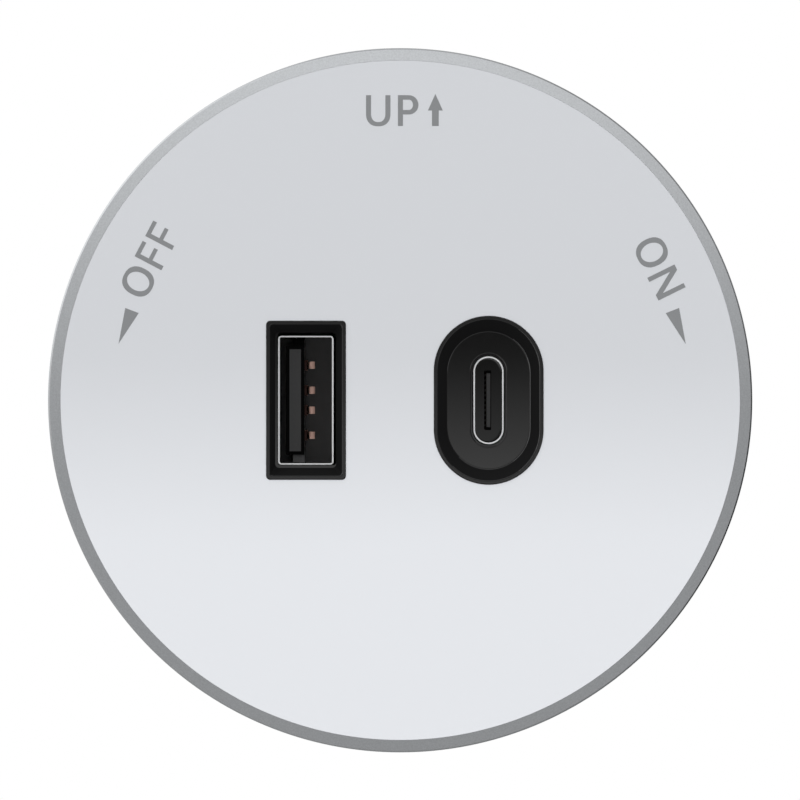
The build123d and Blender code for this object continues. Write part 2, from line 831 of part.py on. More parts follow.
def detent_springs():
    foot = pocket_end - spring_thickness / 2
    half = detent_span / 2
    line = bent_strip(
        [(foot, -half - detent_foot), (foot, -half), (foot - detent_nose_reach, 0), (foot, half),
         (foot, half + detent_foot)],
        [detent_foot_bend, detent_nose_radius, detent_foot_bend], spring_thickness)
    spring = prism(line, spring_low, spring_high)
    return Compound([spring, Rot(0, 0, 180) * spring])


# Key

def key_outline():
    return RectangleRounded(key_length, key_width, key_corner)


def key_body():
    body = prism(key_outline(), key_split, key_top)
    body = chamfer(level_edges(body, key_top), key_chamfer)
    body += post((0, 0), key_width / 2, key_top, recess_floor)
    body += post((0, 0), key_flange_radius, key_flange_rise, collar_counterbore - SLIDE_GAP)
    body -= block((-passage_length / 2, passage_length / 2), (-passage_width / 2, passage_width / 2),
                  (key_split, recess_floor))
    for side in (-1, 1):
        body -= contact_chamber(side)
        body -= post((0, side * key_screw_offset), small_screw_radius + PILOT_GAP,
                     recess_floor - key_screw_grip - pilot_spare, recess_floor)
        body -= post((side * cap_screw_offset, side * cap_screw_offset), small_screw_radius + PILOT_GAP,
                     key_split, key_split + cap_screw_grip + pilot_spare)
    body -= post((0, 0), earth_chamber_radius, key_split, earth_recess_roof)
    return body


def contact_chamber(side):
    """The room for a shoe and its spring, the window at the key's end and the busbar's groove."""
    chamber = block((chamber_start, chamber_end), (-chamber_half, chamber_half), (key_split, chamber_roof))
    window = block((chamber_end, key_length), (-window_half, window_half), (key_split, chamber_roof))
    groove_half = busbar_width / 2 + LEAD_GAP
    groove_roof = chamber_roof + busbar_thickness + FIT_GAP
    inlet = block((passage_length / 4, chamber_start), (-groove_half, groove_half), (key_split, groove_roof))
    groove = block((passage_length / 4, chamber_end - groove_end), (-groove_half, groove_half),
                   (chamber_roof, groove_roof))
    room = chamber + window + inlet + groove
    return room if side > 0 else Rot(0, 0, 180) * room


def key_cap():
    cap = prism(key_outline(), key_rear, key_split)
    cap = chamfer(level_edges(cap, key_rear), key_rear_chamfer)
    cap -= post((0, 0), earth_chamber_radius, earth_stop, key_split)
    cap -= post((0, 0), earth_pin_radius + earth_pin_gap, key_rear, earth_stop)
    for side in (-1, 1):
        place = (side * cap_screw_offset, side * cap_screw_offset)
        cap -= post(place, small_screw_radius + SCREW_GAP, key_rear, key_split)
        cap -= post(place, small_head_radius + SCREW_GAP, key_rear, cap_screw_seat)
    return cap


def small_screw(seat, length):
    """A small pan-head screw with its head below the seat and its shank above."""
    low = seat - small_head_height
    end = seat + length
    body = turned((0, low), (small_head_radius, low), (small_head_radius, seat),
                  (small_screw_radius, seat), (small_screw_radius, end), (0, end))
    return body - cross_recess(small_head_radius, low)


def key_cap_screws():
    length = key_split - cap_screw_seat + cap_screw_grip
    places = [(side * cap_screw_offset, side * cap_screw_offset) for side in (-1, 1)]
    return Compound([Pos(*place) * small_screw(cap_screw_seat, length) for place in places])


def key_screws():
    """The screws that draw the key against the housing, with their heads inside the housing."""
    screw = Rot(180, 0, 0) * small_screw(-inner_floor, centre_wall + key_screw_grip)
    return Compound([Pos(0, side * key_screw_offset) * screw for side in (-1, 1)])


# Contacts, springs and busbars

def contact_shoe():
    """A sprung shoe at the key's +x end, held back by its flange."""
    low = key_split + SLIDE_GAP
    high = chamber_roof - SLIDE_GAP
    wide = chamber_half - SLIDE_GAP
    narrow = window_half - SLIDE_GAP
    nose_end = key_length / 2 + contact_travel + nose_stand
    flange = block((shoe_back, shoe_front), (-wide, wide), (low, high))
    nose = block((shoe_front, nose_end), (-narrow, narrow), (low, high))
    corners = nose.edges().filter_by(Axis.Z).group_by(Axis.X)[-1]
    reach = contact_spring_half + spring_thickness
    rise = contact_spring_height / 2 + SLIDE_GAP
    seat = block((shoe_back, contact_spring_end), (-reach, reach),
                 (contact_spring_level - rise, contact_spring_level + rise))
    return flange + fillet(corners, nose_rounding) - seat


def live_contact():
    return contact_shoe()


def neutral_contact():
    return Rot(0, 0, 180) * contact_shoe()


def earth_contact():
    """A domed pin with a flange that the cap holds back."""
    end = key_rear - contact_travel - earth_stand
    low = earth_stop + SLIDE_GAP
    flange_radius = earth_chamber_radius - earth_pin_gap
    pin = turned((0, earth_flange_front), (flange_radius, earth_flange_front), (flange_radius, low),
                 (earth_pin_radius, low), (earth_pin_radius, end), (0, end))
    return chamfer(round_edges(pin, earth_pin_radius, end), earth_pin_chamfer)


def zigzag(start, end, half_width, folds):
    """The outline of a strip folded to and fro between two levels of x."""
    low = start + spring_thickness / 2
    step = (end - start - spring_thickness) / folds
    points = [(low, -half_width / 2), (low, half_width)]
    side = 1
    for fold in range(1, folds):
        side = -side
        points.append((low + fold * step, side * half_width))
    points += [(low + folds * step, -side * half_width), (low + folds * step, side * half_width / 2)]
    return bent_strip(points, [fold_bend] * (len(points) - 2), spring_thickness)


def contact_spring():
    """The folded spring behind the +x shoe."""
    outline = zigzag(chamber_start, contact_spring_end, contact_spring_half, contact_spring_folds)
    return prism(outline, contact_spring_level - contact_spring_height / 2,
                 contact_spring_level + contact_spring_height / 2)


def live_spring():
    return contact_spring()


def neutral_spring():
    return Rot(0, 0, 180) * contact_spring()


def earth_spring():
    """The folded spring between the earth pin and its busbar."""
    outline = zigzag(-earth_foot_rear, -earth_flange_front, earth_chamber_radius - earth_spring_margin,
                     earth_spring_folds)
    spring = extrude(outline, contact_spring_height / 2, both=True)
    return Rot(0, 90, 0) * spring


def contact_busbar():
    """The strip from the +x shoe's chamber to the board."""
    line = bent_strip(
        [(chamber_end - busbar_end, busbar_level), (busbar_offset, busbar_level),
         (busbar_offset, board_front + lead_length)], [busbar_bend], busbar_thickness)
    return extrude(Plane.XZ * line, busbar_width / 2, both=True)


def live_busbar():
    return contact_busbar()


def neutral_busbar():
    return Rot(0, 0, 180) * contact_busbar()


def earth_busbar():
    """A strip with a round foot that the earth spring bears on."""
    half = busbar_thickness / 2
    strip = block((-half, half), (-busbar_width / 2, busbar_width / 2),
                  (earth_recess_roof, board_front + lead_length))
    foot_radius = busbar_offset - half - RUNNING_GAP
    return strip + post((0, 0), foot_radius, earth_foot_rear, earth_recess_roof)


pieces = [
    trim_ring, face_plate, usb_a_bezel, usb_c_bezel, usb_a_shell, usb_a_insulator, usb_a_contacts,
    usb_c_shell, usb_c_insulator, usb_c_contacts, main_board, transformer_core, transformer_bobbin,
    transformer_winding, input_capacitors, output_capacitor, choke, fuse, y_capacitor,
    bridge_rectifier, controller_chips, rear_housing, housing_screws, key_screws, guide_collar,
    detent_springs, key_body, key_cap, key_cap_screws, live_contact, neutral_contact, earth_contact,
    live_spring, neutral_spring, earth_spring, live_busbar, neutral_busbar, earth_busbar,
]
for piece in pieces:
    save(piece.__name__, piece())
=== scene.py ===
from math import copysign, cos, pi, radians, sin

import bmesh
import bpy
from mathutils import Matrix, Vector


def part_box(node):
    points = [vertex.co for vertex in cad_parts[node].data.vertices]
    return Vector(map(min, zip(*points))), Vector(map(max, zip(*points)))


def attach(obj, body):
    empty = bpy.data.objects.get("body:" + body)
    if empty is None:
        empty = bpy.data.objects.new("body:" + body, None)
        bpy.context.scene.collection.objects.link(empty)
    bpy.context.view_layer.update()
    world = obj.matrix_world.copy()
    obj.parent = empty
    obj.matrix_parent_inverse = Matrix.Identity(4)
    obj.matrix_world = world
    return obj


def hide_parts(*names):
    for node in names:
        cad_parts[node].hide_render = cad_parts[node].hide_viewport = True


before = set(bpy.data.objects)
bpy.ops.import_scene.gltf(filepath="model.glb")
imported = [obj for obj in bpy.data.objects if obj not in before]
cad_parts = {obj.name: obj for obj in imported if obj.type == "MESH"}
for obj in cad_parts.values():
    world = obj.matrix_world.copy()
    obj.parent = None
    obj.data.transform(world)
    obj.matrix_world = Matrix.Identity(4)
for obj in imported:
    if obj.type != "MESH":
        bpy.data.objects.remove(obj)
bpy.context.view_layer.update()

# Pieces are drawn in a face frame, in millimetres: x to the right and y up as the front is seen,
# and the level out towards the viewer. point() turns them into the row's frame, in metres.
MM = 0.001
HEAD = "socket_head"


def spans(node):
    """A node's low and high values along x and y, and its lowest and highest level."""
    low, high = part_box(node)
    return (low.x / MM, high.x / MM), (low.z / MM, high.z / MM), (-high.y / MM, -low.y / MM)


def halves(node):
    """Half a node's width and half its height."""
    x_range, y_range, _ = spans(node)
    return (x_range[1] - x_range[0]) / 2, (y_range[1] - y_range[0]) / 2


def centre_x(node):
    """The middle of a node's width."""
    low, high = spans(node)[0]
    return (low + high) / 2


def point(x, y, level):
    """A place in the face frame as a place in the row's frame."""
    return Vector((x, -level, y)) * MM


# Front: the trim ring and the face plate
ring_x, _, (ring_rear, face) = spans("trim_ring")
ring_radius = ring_x[1]
rim_width = 1.25
rim_drop = 0.9
rim_rounding = 0.03
rim_growth = 0.045                # how far the fine rim stands out past the solid's
rim_edge = 0.16                   # the polished facet round the rim
rim_edge_drop = 0.32
rim_inner_rounding = 0.02
ring_rounding = 0.1               # of the ring's edges behind the rim
ring_flange_depth = 1.6           # from the face down to the flange that carries the plate
ring_flange_thickness = 1.2
ring_flange_width = 1.4
flange_front = face - ring_flange_depth
flange_rear = flange_front - ring_flange_thickness
ring_bore = ring_radius - rim_width
flange_bore = ring_bore - ring_flange_width
plate_thickness = 2.2
plate_back = face - plate_thickness
plate_gap = 0.008                 # between the plate and the ring, drawn closed up
window_gap = 0.006
board_front = spans("face_plate")[2][0]
boss_radius = 2.7
boss_bore = 1.22
boss_bore_depth = 8.0
boss_overlap = 0.5                # how far a boss reaches into the plate
cutter_margin = 1.0               # how far a cutter stands out of what it cuts

# Bezels
bezel_lip = 0.38
bezel_flange = 1.3
bezel_flange_thickness = 1.0
bezel_front = spans("usb_a_bezel")[2][1]
bezel_corner = 0.4
bezel_inner_corner = 0.3          # where the lip ends and the slopes start
bezel_to_shell = 0.27
usb_a_growth = -0.006             # what the USB-A outline gains in height
usb_c_growth = 0.012              # what the USB-C outline gains in width and height
throat_corner = 0.4
throat_shift = -0.02              # of the USB-A bezel's throat, sideways
outline_shift = 0.034             # of its outline
ledge_width = 0.26                # of the step left of the shell and below it
ledge_trim = 0.002                # of the same step at the right and the top, as good as nothing
knee_margin = 0.001               # a side shorter than this has no room for a knee
usb_c_floor_depth = 1.1           # from the face down to the flat floor round the shell
usb_c_pocket_depth = 1.2          # from that floor to the end of the shell's slot
usb_c_floor_width = 2.655         # of the floor, at the shell's sides
usb_c_floor_height = 2.51         # at its ends
shell_gap = 0.1
groove_width = 0.27               # the shallow groove round the USB-C shell
groove_depth = 0.1
groove_rounding = 0.09
lip_rounding = 0.1
slope_rounding = 0.06
floor_rounding = 0.08
edge_rounding = 0.015
usb_a_wall = (0.165, 0.138)       # at the shell's sides, and at its top and bottom
usb_c_wall = 0.148
fine_inset = 0.04                 # what the USB-A shell loses at its top and bottom
shell_corner = 0.32
usb_a_depth = 8.9                 # from the shell's front edge to the port's floor
usb_c_depth = 6.2
floor_corner = 0.2                # of the USB-A port's floor
tip_depth = 0.05                  # what is within this of a tongue's end is its tip
rib_depth = 2.0                   # and within this, its ribs
strip_thickness = 0.3             # of the contacts' strips, as deep as they are drawn shaded
strip_level = 20.0                # the strips show in front of this level
strip_end_level = 22.0            # only their front ends stand in front of this one

# Housing and collar
housing_wall = 2.1
housing_taper = 0.5
housing_floor = 2.0
housing_rounding = 1.0
centre_rounding = 0.4
spigot_rounding = 0.1
shoulder_rounding = 0.15
recess_rounding = 0.2
seat_gap = 0.4
collar_height = 2.9
centre_wall = 2.0
collar_cover = 0.9
cover_gap = 0.2
running_gap = 0.3
slide_gap = 0.1
shadow_gap = 0.3
spigot_gap = 0.06
tower_radius = 3.2
tower_margin = 1.6
screw_head_radius = 2.3
screw_radius = 1.2
screw_gap = 0.25
screw_head_depth = 3.6
centre_margin = 1.9
passage_radius = 4.0              # of the busbars' way through the housing
board_thickness = 1.6
cover_radius = spans("guide_collar")[0][1]
recess_radius = cover_radius + running_gap
collar_radius = 19.0
screw_offset = (flange_bore - tower_margin - tower_radius) / 2 ** 0.5
board_back = board_front - board_thickness

# How finely the curves are drawn
RING_STEPS = 256
END_STEPS = 40
CORNER_STEPS = 10
ROUND_STEPS = 4
POST_STEPS = 64
CURVE_STEPS = 32
GUARD = 0.01                      # width of the strip beside a rounding
GUARD_SHARE = 0.02                # the most of a side that such a strip takes
ROUND_SHARE = 0.45                # the most of a side that a rounding takes
SHARP_ANGLE = radians(32)

# How far a face of a mesh turns towards some side, from 0 to 1
FLAT = 0.97                       # at least this, when it lies square to it
ROUNDED = 0.75                    # at least this, when it is part of a rounding
SIDEWAYS = 0.3                    # at least this, when it is one of a rounding's inner faces
UPRIGHT = 0.1                     # less than this, when it is a wall along it

# Where most of a noise pattern's values lie
NOISE_LOW = 0.3
NOISE_HIGH = 0.7


# Mesh building

def mesh_object(name, mesh):
    """An object for a mesh, in the scene."""
    made = bpy.data.objects.new(name, mesh)
    bpy.context.scene.collection.objects.link(made)
    return made


def apply_modifiers(made):
    """Turn an object's modifiers into its mesh."""
    done = made.evaluated_get(bpy.context.evaluated_depsgraph_get())
    mesh = bpy.data.meshes.new_from_object(done)
    made.modifiers.clear()
    made.data = mesh


def shade(made):
    """Smooth shading that stays crisp at the corners and true on the flats."""
    # Blender weighs no face of less than one unit in a million, so this is done at a larger scale.
    mesh = made.data
    mesh.transform(Matrix.Scale(1 / MM, 4))
    mesh.polygons.foreach_set("use_smooth", [True] * len(mesh.polygons))
    mesh.set_sharp_from_angle(angle=SHARP_ANGLE)
    normals = made.modifiers.new("even_normals", "WEIGHTED_NORMAL")
    normals.keep_sharp = True
    apply_modifiers(made)
    made.data.transform(Matrix.Scale(MM, 4))
    return made


def skin(name, loops, closed=True):
    """A surface over loops of equally many points. One that isn't closed on itself gets a cap at each end."""
    form = bmesh.new()
    rows = [[form.verts.new(place) for place in loop] for loop in loops]
    pairs = list(zip(rows, rows[1:]))
    if closed:
        pairs.append((rows[-1], rows[0]))
    else:
        form.faces.new(rows[0])
        form.faces.new(rows[-1])
    for low, high in pairs:
        for index, corner in enumerate(low):
            after = (index + 1) % len(low)
            form.faces.new((corner, low[after], high[after], high[index]))
    bmesh.ops.recalc_face_normals(form, faces=form.faces)
    mesh = bpy.data.meshes.new(name)
    form.to_mesh(mesh)
    form.free()
    return mesh_object(name, mesh)


def circle_loop(radius, level, place=(0, 0), steps=RING_STEPS):
    """A circle's points at one level."""
    turns = [2 * pi * index / steps for index in range(steps)]
    return [point(place[0] + radius * cos(turn), place[1] + radius * sin(turn), level) for turn in turns]


def stadium_loop(half_x, half_y, level, centre):
    """An upright outline with half-round ends."""
    points = []
    for start, middle in ((0, half_y - half_x), (pi, half_x - half_y)):
        for index in range(END_STEPS + 1):
            turn = start + pi * index / END_STEPS
            points.append(point(centre + half_x * cos(turn), middle + half_x * sin(turn), level))
    return points


def corner_points(half_x, half_y, radius, knee):
    """One corner of a rectangle, from its upright side round to its top.

    A knee, where the corner starts on both sides, takes the place of two of the curve's points.
    """
    steps = CORNER_STEPS - 2 if knee else CORNER_STEPS
    curve = []
    for index in range(steps + 1):
        turn = pi / 2 * index / steps
        curve.append((half_x - radius + radius * cos(turn), half_y - radius + radius * sin(turn)))
    return [(half_x, knee[1])] + curve + [(knee[0], half_y)] if knee else curve


def rectangle_loop(half_x, half_y, radius, level, centre, knee=None, rise=0):
    """An upright rectangle with rounded corners."""
    corner = corner_points(half_x, half_y, radius, knee)
    back = corner[::-1]
    outline = corner + [(-x, y) for x, y in back] + [(-x, -y) for x, y in corner] + [(x, -y) for x, y in back]
    return [point(centre + x, rise + y, level) for x, y in outline]


def eased(stations):
    """A closed section whose marked corners are rounded. Each station ends with its rounding.

    A narrow strip beside each rounding keeps the flat beyond it truly flat.
    """
    result = []
    count = len(stations)
    for index, (*values, rounding) in enumerate(stations):
        corner = Vector(values)
        if not rounding:
            result.append(corner)
            continue
        before = Vector(stations[index - 1][:-1]) - corner
        after = Vector(stations[(index + 1) % count][:-1]) - corner
        start = corner + before * min(ROUND_SHARE, rounding / section_length(before))
        end = corner + after * min(ROUND_SHARE, rounding / section_length(after))
        result.append(start + before * min(GUARD_SHARE, GUARD / section_length(before)))
        for step in range(ROUND_STEPS + 1):
            share = step / ROUND_STEPS
            middle = 2 * share * (1 - share)
            result.append(start * (1 - share) ** 2 + corner * middle + end * share ** 2)
        result.append(end + after * min(GUARD_SHARE, GUARD / section_length(after)))
    return result


def section_length(move):
    """The length of a move in a section, from its first value, the width, and its last, the level."""
    return (move[0] ** 2 + move[-1] ** 2) ** 0.5


def turned(name, stations):
    """A closed ring from (radius, level, rounding) stations."""
    return skin(name, [circle_loop(radius, level) for radius, level in eased(stations)])


def post(name, place, radius, low, high):
    """A round post, used to add or to cut."""
    return skin(name, [circle_loop(radius, level, place, POST_STEPS) for level in (low, high)], False)


def combine(base, tools, operation):
    """Join tools to a base or cut them out of it, and drop them."""
    for tool in tools:
        step = base.modifiers.new("combine", "BOOLEAN")
        step.operation = operation
        step.solver = "EXACT"
        step.object = tool
    apply_modifiers(base)
    for tool in tools:
        bpy.data.objects.remove(tool)


def diagonal_places(offset):
    """The four places on the diagonals."""
    return [(x * offset, y * offset) for x in (-1, 1) for y in (-1, 1)]


def settle(made, slot, look, *nodes):
    """Give a finished piece of the head its material, in place of the nodes it stands for. The record slot it
    is handed is not used.
    """
    made.data.materials.clear()
    made.data.materials.append(look)
    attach(made, HEAD)
    if nodes:
        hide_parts(*nodes)


# Materials

def new_look(name, colour, roughness, metallic=0.0):
    """A material, its node tree and its shader."""
    look = bpy.data.materials.new(name)
    look.use_nodes = True
    tree = look.node_tree
    shader = tree.nodes["Principled BSDF"]
    shader.inputs["Base Color"].default_value = (*colour, 1)
    shader.inputs["Roughness"].default_value = roughness
    shader.inputs["Metallic"].default_value = metallic
    return look, tree, shader


def noise(tree, size_mm, detail=3.0):
    """Noise in the object's own space, with grains of about a size in millimetres."""
    place = tree.nodes.new("ShaderNodeTexCoord")
    grains = tree.nodes.new("ShaderNodeTexNoise")
    grains.inputs["Scale"].default_value = 1 / (size_mm * MM)
    grains.inputs["Detail"].default_value = detail
    tree.links.new(place.outputs["Object"], grains.inputs["Vector"])
    return grains.outputs["Fac"]


def ranged(tree, source, low, high, start, end):
    """A value that goes from start to end while a source goes from low to high."""
    span = tree.nodes.new("ShaderNodeMapRange")
    for name, value in (("From Min", low), ("From Max", high), ("To Min", start), ("To Max", end)):
        span.inputs[name].default_value = value
    tree.links.new(source, span.inputs["Value"])
    return span.outputs["Result"]


def vary(tree, source, shader, low, high):
    """Drive the roughness between two values by a pattern."""
    tree.links.new(ranged(tree, source, NOISE_LOW, NOISE_HIGH, low, high), shader.inputs["Roughness"])


def tint(tree, source, shader, dark, light):
    """Drive the base colour between two colours by a pattern."""
    ramp = tree.nodes.new("ShaderNodeValToRGB")
    for element, place, colour in zip(ramp.color_ramp.elements, (NOISE_LOW, NOISE_HIGH), (dark, light)):
        element.position = place
        element.color = (*colour, 1)
    tree.links.new(source, ramp.inputs["Fac"])
    tree.links.new(ramp.outputs["Color"], shader.inputs["Base Color"])


def roughen(tree, source, shader, height_mm):
    """Raise the surface by a pattern."""
    bump = tree.nodes.new("ShaderNodeBump")
    bump.inputs["Distance"].default_value = height_mm * MM
    tree.links.new(source, bump.inputs["Height"])
    tree.links.new(bump.outputs["Normal"], shader.inputs["Normal"])


def distance_from_axis(tree):
    """How far a surface lies from the axis of the module, in metres."""
    place = tree.nodes.new("ShaderNodeTexCoord")
    flat = tree.nodes.new("ShaderNodeVectorMath")
    flat.operation = "MULTIPLY"
    flat.inputs[1].default_value = (1, 0, 1)
    length = tree.nodes.new("ShaderNodeVectorMath")
    length.operation = "LENGTH"
    tree.links.new(place.outputs["Object"], flat.inputs[0])
    tree.links.new(flat.outputs["Vector"], length.inputs[0])
    return length.outputs["Value"]


def scaled(colour, factor):
    """A colour made darker or lighter."""
    return tuple(value * factor for value in colour)


def satin_metal():
    """Bead-blasted, anodised metal of the trim ring, with a fine grain and a polished outer edge."""
    colour = (0.60, 0.618, 0.636)
    satin = 0.42
    polished = 0.15
    blend = 0.01              # half the width over which the polish starts
    look, tree, shader = new_look("satin_metal", colour, satin, 1.0)
    grain = noise(tree, 0.16, 2.0)
    tint(tree, grain, shader, scaled(colour, 0.93), scaled(colour, 1.07))
    roughen(tree, grain, shader, 0.005)
    edge = ring_radius + rim_growth - rim_edge
    away = distance_from_axis(tree)
    polish = ranged(tree, away, (edge - blend) * MM, (edge + blend) * MM, satin, polished)
    tree.links.new(polish, shader.inputs["Roughness"])
    return look


def silver_lacquer():
    """The plate's glossy silver paint, with flakes too fine to see."""
    colour = (0.774, 0.792, 0.826)
    look, tree, shader = new_look("silver_lacquer", colour, 0.04, 0.151)
    tint(tree, noise(tree, 0.05, 1.0), shader, scaled(colour, 0.996), scaled(colour, 1.004))
    vary(tree, noise(tree, 6.0), shader, 0.035, 0.045)
    return look


def print_ink():
    """Flat grey ink of the direction marks."""
    colour = (0.238, 0.246, 0.254)
    look, tree, shader = new_look("print_ink", colour, 0.6)
    tint(tree, noise(tree, 0.08), shader, scaled(colour, 0.97), scaled(colour, 1.03))
    return look


def black_plastic(name, colour, roughness, grain_mm, height_mm):
    """Moulded black plastic with the fine texture of its mould."""
    look, tree, shader = new_look(name, colour, roughness)
    grain = noise(tree, grain_mm)
    tint(tree, noise(tree, 1.5), shader, scaled(colour, 0.92), scaled(colour, 1.08))
    roughen(tree, grain, shader, height_mm)
    vary(tree, noise(tree, 2.0), shader, roughness * 0.9, roughness * 1.1)
    return look


def dark_plastic(name, brightness, roughness, shine, hue=(1, 1, 1.02)):
    """Black moulded plastic in the front, with its own shine."""
    colour = scaled(hue, brightness)
    look, tree, shader = new_look(name, colour, roughness)
    shader.inputs["Specular IOR Level"].default_value = shine
    tint(tree, noise(tree, 0.15), shader, scaled(colour, 0.96), scaled(colour, 1.04))
    vary(tree, noise(tree, 1.0), shader, roughness * 0.95, roughness * 1.05)
    return look


def nickel_plate(name, roughness, metallic):
    """Folded sheet steel with a nickel finish."""
    colour = (0.9, 0.91, 0.92)
    look, tree, shader = new_look(name, colour, roughness, metallic)
    tint(tree, noise(tree, 0.4), shader, scaled(colour, 0.97), scaled(colour, 1.02))
    vary(tree, noise(tree, 1.0), shader, roughness * 0.93, roughness * 1.07)
    return look


def copper_alloy():
    """Pinkish, dull-plated contact metal."""
    colour = (0.755, 0.488, 0.405)
    look, tree, shader = new_look("copper_alloy", colour, 0.5, 0.3)
    tint(tree, noise(tree, 0.3), shader, scaled(colour, 0.96), scaled(colour, 1.04))
    vary(tree, noise(tree, 0.6), shader, 0.45, 0.55)
    return look


def contact_brass():
    """Pressed brass of the contacts for the mains, with soft rubbing marks."""
    colour = (0.80, 0.59, 0.33)
    look, tree, shader = new_look("contact_brass", colour, 0.38, 1.0)
    tint(tree, noise(tree, 0.9), shader, scaled(colour, 0.95), scaled(colour, 1.04))
    vary(tree, noise(tree, 0.6), shader, 0.34, 0.42)
    return look


def metal(name, colour, roughness):
    """Sheet or turned metal with a faint grain."""
    look, tree, shader = new_look(name, colour, roughness, 1.0)
    grain = noise(tree, 0.3)
    tint(tree, grain, shader, scaled(colour, 0.93), scaled(colour, 1.04))
    vary(tree, grain, shader, roughness * 0.85, roughness * 1.15)
    roughen(tree, grain, shader, 0.0015)
    return look


def plain(name, colour, roughness, grain_mm=0.5):
    """A matt or half-matt piece inside the housing."""
    look, tree, shader = new_look(name, colour, roughness)
    grain = noise(tree, grain_mm)
    tint(tree, grain, shader, scaled(colour, 0.85), scaled(colour, 1.1))
    roughen(tree, grain, shader, 0.01)
    return look


def wound_wire():
    """Yellow tape that shows the turns under it as bands across the winding's height."""
    dark = (0.62, 0.45, 0.05)
    light = (0.8, 0.62, 0.1)
    look, tree, shader = new_look("wound_wire", (0.75, 0.56, 0.08), 0.35)
    place = tree.nodes.new("ShaderNodeTexCoord")
    bands = tree.nodes.new("ShaderNodeTexWave")
    bands.bands_direction = "Y"
    bands.inputs["Scale"].default_value = 900
    bands.inputs["Distortion"].default_value = 0.4
    tree.links.new(place.outputs["Object"], bands.inputs["Vector"])
    tint(tree, bands.outputs["Fac"], shader, dark, light)
    roughen(tree, bands.outputs["Fac"], shader, 0.05)
    return look


looks = {
    "rim": satin_metal(),
    "face": silver_lacquer(),
    "bezel": dark_plastic("bezel_plastic", 0.0012, 0.045, 0.8),
    "shell": nickel_plate("nickel_plate", 0.3, 0.65),
    "insulator": dark_plastic("insulator_plastic", 0.0, 0.04, 0.6),
    "contact": copper_alloy(),
    "board": plain("solder_mask", (0.015, 0.09, 0.035), 0.35),
    "ferrite": plain("ferrite", (0.035, 0.035, 0.037), 0.7, 0.2),
    "bobbin": black_plastic("bobbin_plastic", (0.02, 0.02, 0.02), 0.4, 0.3, 0.005),
    "winding": wound_wire(),
    "can": plain("capacitor_sleeve", (0.012, 0.016, 0.03), 0.3),
    "disc": plain("disc_coating", (0.02, 0.12, 0.35), 0.4, 0.4),
    "chip": black_plastic("chip_resin", (0.018, 0.018, 0.019), 0.6, 0.1, 0.004),
    "housing": black_plastic("housing_plastic", (0.016, 0.016, 0.017), 0.42, 0.3, 0.012),
    "screw": metal("zinc_plate", (0.62, 0.62, 0.6), 0.3),
    "collar": black_plastic("collar_plastic", (0.02, 0.02, 0.021), 0.38, 0.2, 0.004),
    "spring": metal("spring_steel", (0.55, 0.56, 0.57), 0.25),
    "key": black_plastic("key_plastic", (0.014, 0.014, 0.015), 0.4, 0.22, 0.005),
}

# Looks of single faces or pieces, beside those of the record slots
ink = print_ink()
# matt finish of the bezels' slopes, also used as painted shade on roundings that face right or down
slope_and_painted_shade_look = dark_plastic("bezel_slope_and_painted_shade_plastic", 0.0105, 0.6, 0.0)
tip_look = dark_plastic("tongue_tip_plastic", 0.031, 0.6, 0.3)
# painted light: the insulator's plastic made brighter on the ribs, which lie in shade
painted_light_rib_look = dark_plastic("rib_painted_light_plastic", 0.05, 0.6, 0.3)
# painted light: the USB-A port's deep floor made brighter than its shade allows
painted_light_port_floor_look = dark_plastic("port_floor_painted_light_plastic", 0.08, 0.5, 0.5)
lip_look = dark_plastic("bezel_lip_plastic", 0.003, 0.12, 0.66)
# painted highlight: a light look for the bezels' inner edges at the right
painted_highlight_edge_look = dark_plastic("bezel_painted_highlight_plastic", 0.06, 0.3, 0.8)
brass = contact_brass()
inner_nickel = nickel_plate("inner_nickel", 0.06, 1.0)
# painted shade: the insulators' walls and chamfers drawn near black
painted_shade_wall_look = dark_plastic("port_wall_painted_shade_plastic", 0.003, 0.6, 0.0)
# painted light: the shaded floor between the tongue and the shell made brighter
painted_light_port_gap_look = dark_plastic("port_gap_painted_light_plastic", 0.14, 0.5, 0.5)
# painted light: the USB-A tongue's side towards the axis made brighter
painted_light_tongue_side_look = dark_plastic("tongue_side_painted_light_plastic", 0.09, 0.6, 0.3)
# painted light: the same for the thinner USB-C tongue
painted_light_thin_side_look = dark_plastic("thin_tongue_side_painted_light_plastic", 0.02, 0.6, 0.3)
# painted shade: a darkened copper for contacts in the ports' shade
shaded_copper = dark_plastic("shaded_copper", 0.02, 0.6, 0.0, (1, 0.55, 0.46))


def dress_nodes():
    """Give each CAD node the material of its record slot. The contacts for the mains are brass."""
    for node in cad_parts.values():
        for holder in node.material_slots:
            holder.material = looks[holder.material.name]
    for name in ("live_contact", "neutral_contact", "earth_contact"):
        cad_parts[name].material_slots[0].material = brass


# Pieces of the front

def trim_ring():
    """The bevelled ring with its polished edge and the flange that carries the plate."""
    outer = ring_radius + rim_growth
    slope = rim_drop / rim_width
    edge_level = face - (rim_width - rim_edge) * slope
    ring = turned("trim_ring_fine", (
        (outer, ring_rear, ring_rounding),
        (outer, edge_level - rim_edge_drop, rim_rounding),
        (outer - rim_edge, edge_level, rim_rounding),
        (ring_bore, face, rim_inner_rounding),
        (ring_bore, flange_front, 0),
        (flange_bore, flange_front, ring_rounding),
        (flange_bore, flange_rear, ring_rounding),
        (ring_bore, flange_rear, 0),
        (ring_bore, ring_rear, ring_rounding),
    ))
    settle(shade(ring), "rim", looks["rim"], "trim_ring")


def bezel_a_halves(growth):
    """Half the width and height of the USB-A bezel's outline, grown by a margin."""
    half_x, half_y = halves("usb_a_bezel")
    shrink = bezel_flange - growth
    return half_x - shrink, half_y - shrink + usb_a_growth


def bezel_c_halves(growth):
    """Half the width and height of the USB-C bezel's outline, grown by a margin."""
    half_x, half_y = halves("usb_c_bezel")
    shrink = bezel_flange - growth - usb_c_growth
    return half_x - shrink, half_y - shrink


